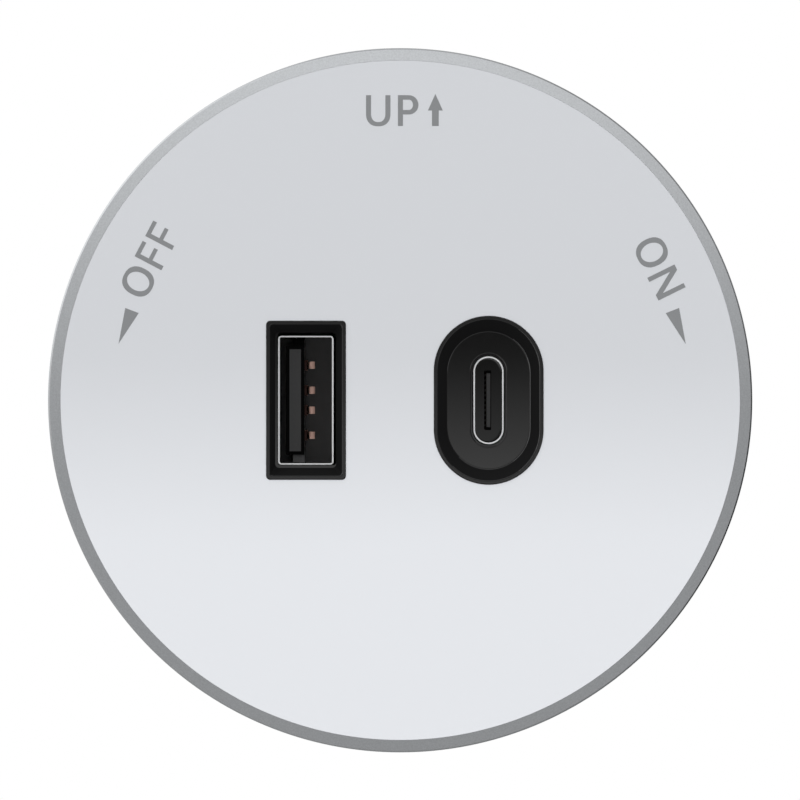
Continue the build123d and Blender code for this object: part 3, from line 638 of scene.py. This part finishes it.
def bezel_a_loop(growth, level):
    """The USB-A bezel's outline at one level, grown by a margin."""
    half_x, half_y = bezel_a_halves(growth)
    middle = centre_x("usb_a_bezel") + outline_shift
    return rectangle_loop(half_x, half_y, bezel_corner + growth, level, middle)


def bezel_c_loop(growth, level):
    """The USB-C bezel's outline at one level, grown by a margin."""
    half_x, half_y = bezel_c_halves(growth)
    return stadium_loop(half_x, half_y, level, centre_x("usb_c_bezel"))


def window_cutter(outline):
    """What cuts a bezel's window out of the plate."""
    levels = (plate_back - cutter_margin, face + cutter_margin)
    return skin("window", [outline(window_gap, level) for level in levels], False)


def face_plate():
    """The round plate, stepped to lie on the ring's flange, with its screw bosses and two windows."""
    plate_edge = ring_bore - plate_gap
    step_edge = flange_bore - window_gap
    steps = ((step_edge, (plate_back, flange_front)), (plate_edge, (flange_front, face)))
    loops = [circle_loop(radius, level) for radius, levels in steps for level in levels]
    plate = skin("face_plate_fine", loops, False)
    bore_levels = (board_front - cutter_margin, board_front + boss_bore_depth)
    bosses = []
    bores = []
    for place in diagonal_places(screw_offset):
        bosses.append(post("boss", place, boss_radius, board_front, plate_back + boss_overlap))
        bores.append(post("bore", place, boss_bore, *bore_levels))
    combine(plate, bosses, "UNION")
    combine(plate, bores + [window_cutter(bezel_a_loop), window_cutter(bezel_c_loop)], "DIFFERENCE")
    settle(shade(plate), "face", looks["face"], "face_plate")


def usb_a_bezel():
    """The rectangular bezel: proud lip, four slopes and curved corners down to the shell."""
    centre = centre_x("usb_a_bezel") + throat_shift
    middle = centre_x("usb_a_bezel") + outline_shift
    rear = plate_back - bezel_flange_thickness
    shell_x, shell_y = halves("usb_a_shell")
    throat_x = shell_x + bezel_to_shell
    throat_y = shell_y + bezel_to_shell
    throat_level = spans("usb_a_shell")[2][1]
    outer_x, outer_y = bezel_a_halves(0)
    flange_x, flange_y = bezel_a_halves(bezel_flange)
    shift = ledge_width / 2
    knee = (throat_x - throat_corner, throat_y - throat_corner)
    stations = eased((
        (flange_x, flange_y, bezel_corner + bezel_flange, middle, rear, 0),
        (flange_x, flange_y, bezel_corner + bezel_flange, middle, plate_back, 0),
        (outer_x, outer_y, bezel_corner, middle, plate_back, 0),
        (outer_x, outer_y, bezel_corner, middle, bezel_front, lip_rounding),
        (outer_x - bezel_lip, outer_y - bezel_lip, bezel_inner_corner, middle, bezel_front, slope_rounding),
        (throat_x, throat_y, throat_corner, centre, throat_level, 0),
    ))
    loops = []
    for half_x, half_y, corner, across, level in stations:
        free = min(half_x - knee[0], half_y - knee[1]) > corner + knee_margin
        loops.append(rectangle_loop(half_x, half_y, corner, level, across, knee if free else None))
    for level in (throat_level, rear):
        loops.append(rectangle_loop(throat_x - shift, throat_y - shift, throat_corner - shift, level,
                                    centre + shift - ledge_trim, None, shift - ledge_trim))
    bezel = skin("usb_a_bezel_fine", loops)
    settle(shade(bezel), "bezel", looks["bezel"], "usb_a_bezel")
    matt_slopes_and_painted_edges(bezel, centre)


def usb_c_bezel():
    """The long round bezel: proud lip, slope, flat floor and the shell's slot."""
    centre = centre_x("usb_c_bezel")
    rear = plate_back - bezel_flange_thickness
    shell_x, shell_y = halves("usb_c_shell")
    slot_x = shell_x + shell_gap
    slot_y = shell_y + shell_gap
    groove_x = shell_x + groove_width
    groove_y = shell_y + groove_width
    floor_x = shell_x + usb_c_floor_width
    floor_y = shell_y + usb_c_floor_height
    floor_level = face - usb_c_floor_depth
    pocket_level = floor_level - usb_c_pocket_depth
    outer_x, outer_y = bezel_c_halves(0)
    flange_x, flange_y = bezel_c_halves(bezel_flange)
    stations = eased((
        (flange_x, flange_y, rear, 0),
        (flange_x, flange_y, plate_back, 0),
        (outer_x, outer_y, plate_back, 0),
        (outer_x, outer_y, bezel_front, lip_rounding),
        (outer_x - bezel_lip, outer_y - bezel_lip, bezel_front, slope_rounding),
        (floor_x, floor_y, floor_level, floor_rounding),
        (groove_x, groove_y, floor_level, groove_rounding),
        (groove_x, groove_y, floor_level - groove_depth, 0),
        (slot_x, slot_y, floor_level - groove_depth, edge_rounding),
        (slot_x, slot_y, pocket_level, 0),
        (floor_x, floor_y, pocket_level, 0),
        (floor_x, floor_y, rear, 0),
    ))
    loops = [stadium_loop(half_x, half_y, level, centre) for half_x, half_y, level in stations]
    bezel = skin("usb_c_bezel_fine", loops)
    settle(shade(bezel), "bezel", looks["bezel"], "usb_c_bezel")
    matt_slopes_and_painted_edges(bezel, centre)


def add_looks(mesh, *added):
    """Append looks to a mesh's own, and give back their places in its list."""
    first = len(mesh.materials)
    for look in added:
        mesh.materials.append(look)
    return range(first, first + len(added))


def facing(part):
    """Whether a face of a mesh looks straight out to the viewer."""
    return part.normal.y < -FLAT


def level_of(place):
    """The level of a place in the row's frame."""
    return -place.y / MM


def matt_slopes_and_painted_edges(made, middle):
    """Matt slopes and a duller lip, with a painted highlight on the inner edges at the right and painted
    shade on the roundings that face right or down.

    A floor that faces the viewer stays as polished as the bezel's own look.
    """
    slope, lip, edge = add_looks(made.data, slope_and_painted_shade_look, lip_look, painted_highlight_edge_look)
    for part in made.data.polygons:
        rounded = part.normal.y < -ROUNDED
        if facing(part):
            on_lip = level_of(part.center) > bezel_front - lip_rounding
            part.material_index = lip if on_lip else 0
        # painted highlight: inner roundings at the right that turn left get the light edge look
        elif rounded and part.normal.x < -SIDEWAYS and part.center.x / MM > middle:
            part.material_index = edge
        # painted light and shade: roundings turned up or left keep the lip's look, those turned right or down
        # take the dark matt look below
        elif rounded and part.normal.z > part.normal.x:
            part.material_index = lip
        else:
            part.material_index = slope


def smooth_inside(shell, node):
    """Smooth nickel on a shell's inner walls."""
    smooth, = add_looks(shell.data, inner_nickel)
    middle = point(centre_x(node), 0, 0)
    for part in shell.data.polygons:
        inward = middle - part.center
        inward.y = 0
        if abs(part.normal.y) < UPRIGHT and part.normal.dot(inward) > 0:
            part.material_index = smooth


def finish_shell(node, loops):
    """A shell over its loops, with its looks, in place of its node."""
    shell = shade(skin(node + "_fine", loops))
    settle(shell, "shell", looks["shell"], node)
    smooth_inside(shell, node)


def usb_a_shell():
    """The rectangular shell's folded sheet, with softened edges. It narrows to the insulator at its back."""
    rear, front = spans("usb_a_shell")[2]
    half_x, half_y = halves("usb_a_shell")
    half_y -= fine_inset
    side, end = usb_a_wall
    floor_x, floor_y = halves("usb_a_insulator")
    stations = eased((
        (half_x, half_y, shell_corner, rear, 0),
        (half_x, half_y, shell_corner, front, edge_rounding),
        (half_x - side, half_y - end, shell_corner - end, front, edge_rounding),
        (floor_x, floor_y, floor_corner, front - usb_a_depth, 0),
        (floor_x, floor_y, floor_corner, rear, 0),
    ))
    centre = centre_x("usb_a_shell")
    finish_shell("usb_a_shell", [rectangle_loop(*values, centre) for values in stations])


def usb_c_shell():
    """The long round shell, with softened edges. It narrows to the insulator at its back."""
    rear, front = spans("usb_c_shell")[2]
    half_x, half_y = halves("usb_c_shell")
    floor_x, floor_y = halves("usb_c_insulator")
    stations = eased((
        (half_x, half_y, rear, 0),
        (half_x, half_y, front, edge_rounding),
        (half_x - usb_c_wall, half_y - usb_c_wall, front, edge_rounding),
        (floor_x, floor_y, front - usb_c_depth, 0),
        (floor_x, floor_y, rear, 0),
    ))
    centre = centre_x("usb_c_shell")
    finish_shell("usb_c_shell", [stadium_loop(*values, centre) for values in stations])


def dress_insulator(node, floor_look, gap_look, side_look):
    """Looks for a tongue's tip, its ribs and walls, and its side towards the axis: lit and shaded copies of
    one plastic, with painted shade on the walls and painted light on the ribs and on the side towards the
    axis.

    The floor has a look of its own on each side of the tongue; in the USB-A port both are painted light in
    the port's shade.
    """
    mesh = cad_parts[node].data
    tip_level = spans(node)[2][1]
    tongue_x = spans(node.replace("insulator", "contacts"))[0][0]
    inward = -1 if centre_x(node) > 0 else 1
    # lit and shaded copies of the one plastic, chosen by facing and depth: painted light and painted shade
    tip, rib, wall = add_looks(mesh, tip_look, painted_light_rib_look, painted_shade_wall_look)
    floor, gap, side = add_looks(mesh, floor_look, gap_look, side_look)
    for part in mesh.polygons:
        level = level_of(part.center)
        if part.normal.x * inward > FLAT:
            part.material_index = side
        elif not facing(part):
            part.material_index = wall
        elif level > tip_level - tip_depth:
            part.material_index = tip
        elif level > tip_level - rib_depth:
            part.material_index = rib
        elif part.center.x / MM < tongue_x:
            part.material_index = gap
        else:
            part.material_index = floor


def dress_receptacles():
    """The insulators' looks, and dark copper as painted shade where the contacts' strips lie in the tongues'
    shade and on all the USB-C contacts.
    """
    # painted light: the USB-A port gets its brighter floor, gap and side looks, the USB-C port only its side
    dress_insulator("usb_a_insulator", painted_light_port_floor_look, painted_light_port_gap_look, painted_light_tongue_side_look)
    dress_insulator("usb_c_insulator", looks["insulator"], looks["insulator"], painted_light_thin_side_look)
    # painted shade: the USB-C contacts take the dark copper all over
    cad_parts["usb_c_contacts"].material_slots[0].material = shaded_copper
    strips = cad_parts["usb_a_contacts"].data
    shaded, = add_looks(strips, shaded_copper)
    edge = min(corner.co.x for corner in strips.vertices if level_of(corner.co) > strip_end_level) / MM
    for part in strips.polygons:
        if part.center.x / MM < edge + strip_thickness and level_of(part.center) > strip_level:
            part.material_index = shaded


# Direction marks, printed flat on the face. Strokes are drawn from their own sizes.
ink_thickness = 0.01
cap_low = -1.53                   # foot of F and N, from the middle of the O beside them
cap_high = 1.48
stem = 0.46                       # width of an upright stroke
arm = 0.415                       # and of a level one
round_half_width = 1.412          # of the O
round_half_height = 1.56
round_side = 0.497                # width of its stroke
round_top = 0.405
squareness = 2.35                 # of outlines of O and U: 2 is a plain ellipse
f_width = 1.73
f_middle_width = 1.64
f_middle_drop = 1.35
f_starts = (2.056, 4.326)         # from the middle of the O
n_start = 2.066
n_width = 2.515
n_vertex = 0.591                  # width of the two corners where its strokes join
off_centre = (-26.03, 11.80)
off_angle = radians(62.3)
on_centre = (25.0, 14.69)
on_angle = radians(-63.8)
up_base = 27.24                   # foot of UP and its arrow, from the middle of the face
up_height = 3.06
up_stem = 0.502
up_bar = 0.417
u_left = -3.397
u_right = -0.973
u_bowl = 1.24
u_overshoot = 0.025               # of its round foot, below the line of the P
p_left = -0.228
p_right = 1.808
p_bowl_bottom = 28.385
p_side = 0.545
p_bar = 0.447
p_straight = 1.09
arrow_middle = 3.491
arrow_tip = 30.42
arrow_base = 28.78
arrow_half_head = 0.74
arrow_half_shaft = 0.338
off_triangle = ((-27.31, 9.17), (-25.97, 8.66), (-27.98, 5.61))
on_triangle = ((27.70, 9.17), (26.37, 8.65), (28.37, 5.56))


def arc(centre, half_x, half_y, start, end, power=2.0):
    """Points along part of an oval, with angles in degrees. Powers above 2 make it squarer."""
    points = []
    for index in range(CURVE_STEPS + 1):
        turn = radians(start + (end - start) * index / CURVE_STEPS)
        across = copysign(abs(cos(turn)) ** (2 / power), cos(turn))
        up = copysign(abs(sin(turn)) ** (2 / power), sin(turn))
        points.append((centre[0] + half_x * across, centre[1] + half_y * up))
    return points


def letter_o():
    """An O round its own middle, with the squarish outline of the lettering."""
    outer = arc((0, 0), round_half_width, round_half_height, 0, 360, squareness)[:-1]
    inner = arc((0, 0), round_half_width - round_side, round_half_height - round_top, 0, 360)[:-1]
    return [outer, inner]


def letter_f(start):
    """An F whose stem starts at a distance from the middle of the O."""
    low = cap_low
    high = cap_high
    middle = high - f_middle_drop
    inner = start + stem
    short = start + f_middle_width
    long = start + f_width
    return [[
        (start, low), (inner, low), (inner, middle - arm), (short, middle - arm), (short, middle),
        (inner, middle), (inner, high - arm), (long, high - arm), (long, high), (start, high),
    ]]


def letter_n(start):
    """An N whose first stem starts at a distance from the middle of the O."""
    low = cap_low
    high = cap_high
    end = start + n_width
    fall = stem * (high - low) / (n_width - n_vertex)
    return [[
        (start, low), (start + stem, low), (start + stem, high - fall), (end - n_vertex, low), (end, low),
        (end, high), (end - stem, high), (end - stem, low + fall), (start + n_vertex, high), (start, high),
    ]]


def letter_u():
    """The U of UP."""
    middle = (u_left + u_right) / 2
    half = (u_right - u_left) / 2
    top = up_base + up_height
    bowl = up_base + u_bowl
    depth = u_bowl + u_overshoot
    outer = arc((middle, bowl), half, depth, 180, 360, squareness)
    inner = arc((middle, bowl), half - up_stem, depth - up_bar, 360, 180, squareness)
    right_end = [(u_right, top), (u_right - up_stem, top)]
    return [[(u_left, top)] + outer + right_end + inner + [(u_left + up_stem, top)]]


def letter_p():
    """The P of UP: its outline and the opening in its bowl."""
    top = up_base + up_height
    half = (top - p_bowl_bottom) / 2
    middle = p_bowl_bottom + half
    straight = p_left + p_straight
    outer = arc((straight, middle), p_right - straight, half, 90, -90)
    inner = arc((straight, middle), p_right - straight - p_side, half - p_bar, 90, -90)
    stem_right = p_left + up_stem
    return [
        [(p_left, top)] + outer + [(stem_right, p_bowl_bottom), (stem_right, up_base), (p_left, up_base)],
        [(stem_right, top - p_bar)] + inner + [(stem_right, p_bowl_bottom + p_bar)],
    ]


def up_arrow():
    """The arrow beside UP."""
    return [[
        (arrow_middle, arrow_tip), (arrow_middle - arrow_half_head, arrow_base),
        (arrow_middle - arrow_half_shaft, arrow_base), (arrow_middle - arrow_half_shaft, up_base),
        (arrow_middle + arrow_half_shaft, up_base), (arrow_middle + arrow_half_shaft, arrow_base),
        (arrow_middle + arrow_half_head, arrow_base),
    ]]


def set_out(outlines, centre, angle):
    """Outlines turned and moved to their place on the face."""
    return [[
        (centre[0] + x * cos(angle) - y * sin(angle), centre[1] + x * sin(angle) + y * cos(angle))
        for x, y in outline] for outline in outlines]


def printed(name, outlines):
    """Flat ink over outlines, with the inner ones left bare."""
    curve = bpy.data.curves.new(name, "CURVE")
    curve.dimensions = "2D"
    curve.fill_mode = "BOTH"
    curve.extrude = ink_thickness * MM / 2
    for outline in outlines:
        spline = curve.splines.new("POLY")
        spline.points.add(len(outline) - 1)
        for corner, (x, y) in zip(spline.points, outline):
            corner.co = (x * MM, y * MM, 0, 1)
        spline.use_cyclic_u = True
    drawn = mesh_object(name + "_outline", curve)
    mesh = bpy.data.meshes.new_from_object(drawn.evaluated_get(bpy.context.evaluated_depsgraph_get()))
    bpy.data.objects.remove(drawn)
    upright = Matrix.Rotation(pi / 2, 4, "X")
    mesh.transform(Matrix.Translation(point(0, 0, face + ink_thickness / 2)) @ upright)
    settle(mesh_object(name, mesh), "face", ink)


def direction_marks():
    """UP with its arrow, and OFF and ON with theirs, set along the rim."""
    printed("mark_up", letter_u() + letter_p() + up_arrow())
    off_word = letter_o() + letter_f(f_starts[0]) + letter_f(f_starts[1])
    printed("mark_off", set_out(off_word, off_centre, off_angle) + [off_triangle])
    on_word = letter_o() + letter_n(n_start)
    printed("mark_on", set_out(on_word, on_centre, on_angle) + [on_triangle])


# Pieces of the rear

def rear_housing():
    """The cup behind the ring, with its collar recess, stepped screw holes and busbar passage."""
    rear_floor = seat_gap + housing_floor
    recess_floor = collar_height + slide_gap
    inner_floor = recess_floor + centre_wall
    ledge = collar_cover + cover_gap
    housing_radius = flange_bore + housing_wall
    centre_radius = recess_radius + centre_margin
    shoulder = ring_rear - shadow_gap
    spigot = ring_bore - spigot_gap
    inner = collar_radius + running_gap
    stations = eased((
        (passage_radius, inner_floor, 0),
        (centre_radius, inner_floor, centre_rounding),
        (centre_radius, rear_floor, 0),
        (flange_bore, rear_floor, 0),
        (flange_bore, flange_rear, 0),
        (spigot, flange_rear, spigot_rounding),
        (spigot, shoulder, 0),
        (housing_radius, shoulder, shoulder_rounding),
        (housing_radius - housing_taper, seat_gap, housing_rounding),
        (recess_radius, seat_gap, recess_rounding),
        (recess_radius, ledge, 0),
        (inner, ledge, 0),
        (inner, recess_floor, 0),
        (passage_radius, recess_floor, 0),
    ))
    cup = skin("rear_housing_fine", [circle_loop(radius, level) for radius, level in stations])
    seat = seat_gap + screw_head_depth
    below = seat_gap - cutter_margin
    towers = []
    holes = []
    for place in diagonal_places(screw_offset):
        towers.append(post("tower", place, tower_radius, seat - housing_floor, board_back))
        holes.append(post("hole", place, screw_radius + screw_gap, below, board_back + cutter_margin))
        holes.append(post("head_hole", place, screw_head_radius + running_gap, below, seat))
    combine(cup, towers, "UNION")
    combine(cup, holes, "DIFFERENCE")
    settle(shade(cup), "housing", looks["housing"], "rear_housing")


# Surroundings. Directions are in the row's frame: x to the right, y away from the viewer and z up.
ABOVE = (0, 0, 1)
BEHIND = (0, 1, 0)
AHEAD = (0, -1, 0)
upper_left = (-0.8, 0, 0.6)       # the wall behind the object gets brighter this way
lamp_side = (-0.8, 0, 0.55)       # and the soft light comes from here
room_tones = (                    # stops of a rise, from -1 to 1, and the brightness there
    (-0.2, 0.39), (0.0, 0.44), (0.1, 0.5), (0.3, 0.63), (0.5, 0.75), (0.7, 0.87), (0.85, 0.95), (1.0, 0.99),
)
wall_tones = (                    # the same towards the upper left
    (-0.8, 0.03), (-0.6, 0.06), (-0.4, 0.22), (0.1, 0.33), (0.37, 0.55), (0.6, 0.6), (0.75, 1.15),
    (0.82, 1.25),
)
most_tone = 2.0                   # more than the brightest stop
wall_start = (0.0, 0.3)           # how far behind the wall takes over from the room, from 0 to 1
far_start = (0.67, 0.85)          # and how far the flat tone beyond it does
far_tone = 0.95
step_rise = (-1.3, 0.43)          # degrees between which the step straight ahead turns from light to dark
step_tones = (1.1, 0.1)
step_reach = (25, 17)             # degrees from straight ahead where the step starts and is complete
lamp_tones = (0.58, 1.68)         # on the side away from the soft light, and towards it
floor_half = 1.2                  # in metres, like all the floor's lengths
floor_level = -0.15
floor_seam = (0.0, 0.1)           # between the floor in front of the object and behind it
floor_grey = 0.68                 # as the camera sees it
floor_ahead = (0.48, 0.335)       # as matt surfaces see it in front, and as glossy ones do
floor_sides = (-0.2, 0.25)        # behind, from the left to the right
floor_behind = (0.35, 0.04)       # as it is seen there
floor_far = 0.6


def mixed(tree, share, low, high):
    """A value that goes from low to high with a share."""
    mix = tree.nodes.new("ShaderNodeMix")
    tree.links.new(share, mix.inputs["Factor"])
    for socket, value in ((mix.inputs["A"], low), (mix.inputs["B"], high)):
        if isinstance(value, float):
            socket.default_value = value
        else:
            tree.links.new(value, socket)
    return mix.outputs["Result"]


def along(tree, direction, axis):
    """How far a direction goes along an axis, from -1 to 1."""
    product = tree.nodes.new("ShaderNodeVectorMath")
    product.operation = "DOT_PRODUCT"
    product.inputs[1].default_value = Vector(axis).normalized()
    tree.links.new(direction, product.inputs[0])
    return product.outputs["Value"]


def stepped(tree, source, stops):
    """A curve through (source, value) stops, with sources from -1 to 1."""
    ramp = tree.nodes.new("ShaderNodeValToRGB")
    elements = ramp.color_ramp.elements
    while len(elements) < len(stops):
        elements.new(0.5)
    for element, (place, value) in zip(elements, stops):
        share = value / most_tone
        element.position = (place + 1) / 2
        element.color = (share, share, share, 1)
    tree.links.new(ranged(tree, source, -1, 1, 0, 1), ramp.inputs["Fac"])
    whole = tree.nodes.new("ShaderNodeMath")
    whole.operation = "MULTIPLY"
    whole.inputs[1].default_value = most_tone
    tree.links.new(ramp.outputs["Color"], whole.inputs[0])
    return whole.outputs["Value"]


def upward(degrees):
    """The rise of a direction at an elevation."""
    return sin(radians(degrees))


def studio():
    """A white room. Shiny surfaces see it shaded: light above, darker below, and a soft step ahead."""
    world = bpy.data.worlds.new("studio")
    bpy.context.scene.world = world
    world.use_nodes = True
    world.cycles.sampling_method = "NONE"
    tree = world.node_tree
    direction = tree.nodes.new("ShaderNodeTexCoord").outputs["Generated"]
    rise = along(tree, direction, ABOVE)
    depth = along(tree, direction, BEHIND)
    room = stepped(tree, rise, room_tones)
    wall = stepped(tree, along(tree, direction, upper_left), wall_tones)
    nearby = mixed(tree, ranged(tree, depth, *wall_start, 0, 1), room, wall)
    around = mixed(tree, ranged(tree, depth, *far_start, 0, 1), nearby, far_tone)
    step = ranged(tree, rise, upward(step_rise[0]), upward(step_rise[1]), *step_tones)
    outer, inner = (cos(radians(angle)) for angle in step_reach)
    shiny = mixed(tree, ranged(tree, along(tree, direction, AHEAD), outer, inner, 0, 1), around, step)
    soft = ranged(tree, along(tree, direction, lamp_side), -1, 1, *lamp_tones)
    rays = tree.nodes.new("ShaderNodeLightPath").outputs
    matt = mixed(tree, rays["Is Camera Ray"], soft, 1.0)
    strength = mixed(tree, rays["Is Glossy Ray"], matt, shiny)
    background = tree.nodes["Background"]
    background.inputs["Color"].default_value = (1, 1, 1, 1)
    tree.links.new(strength, background.inputs["Strength"])


def pale_floor():
    """A pale floor below the object, outside the main view.

    The object sees it grey, darker behind its right, and pale again far behind.
    """
    corners = ((-1, -1), (1, -1), (1, 1), (-1, 1))
    mesh = bpy.data.meshes.new("floor")
    mesh.from_pydata([(x * floor_half, y * floor_half, floor_level) for x, y in corners], [], [(0, 1, 2, 3)])
    floor = mesh_object("floor", mesh)
    look, tree, shader = new_look("floor_paint", (floor_grey, floor_grey, floor_grey), 0.9)
    shader.inputs["Specular IOR Level"].default_value = 0.0
    place = tree.nodes.new("ShaderNodeTexCoord").outputs["Object"]
    split = tree.nodes.new("ShaderNodeSeparateXYZ")
    tree.links.new(place, split.inputs["Vector"])
    away = tree.nodes.new("ShaderNodeVectorMath")
    away.operation = "NORMALIZE"
    tree.links.new(place, away.inputs[0])
    far = ranged(tree, along(tree, away.outputs["Vector"], BEHIND), *far_start, 0, 1)
    rear = mixed(tree, far, ranged(tree, split.outputs["X"], *floor_sides, *floor_behind), floor_far)
    rays = tree.nodes.new("ShaderNodeLightPath").outputs
    front = mixed(tree, rays["Is Glossy Ray"], *floor_ahead)
    seen = mixed(tree, ranged(tree, split.outputs["Y"], *floor_seam, 0, 1), front, rear)
    tree.links.new(mixed(tree, rays["Is Camera Ray"], seen, floor_grey), shader.inputs["Base Color"])
    mesh.materials.append(look)


# Camera
camera_distance = 600.0
frame_width = 79.46               # what the view takes in at the face
sensor_width = 36.0
aim = (-0.02, 0.025)              # the place on the face that it looks at


def camera():
    """Straight ahead of the face, at the photograph's distance and framing."""
    data = bpy.data.cameras.new("camera")
    data.sensor_width = sensor_width
    data.lens = sensor_width * camera_distance / frame_width
    data.clip_start = 0.01
    made = bpy.data.objects.new("camera", data)
    made.location = point(*aim, face + camera_distance)
    made.rotation_euler = (pi / 2, 0, 0)
    bpy.context.scene.collection.objects.link(made)
    bpy.context.scene.camera = made


camera()
dress_nodes()
trim_ring()
face_plate()
usb_a_bezel()
usb_c_bezel()
usb_a_shell()
usb_c_shell()
dress_receptacles()
direction_marks()
rear_housing()
studio()
pale_floor()
bpy.context.scene.view_settings.view_transform = "Standard"
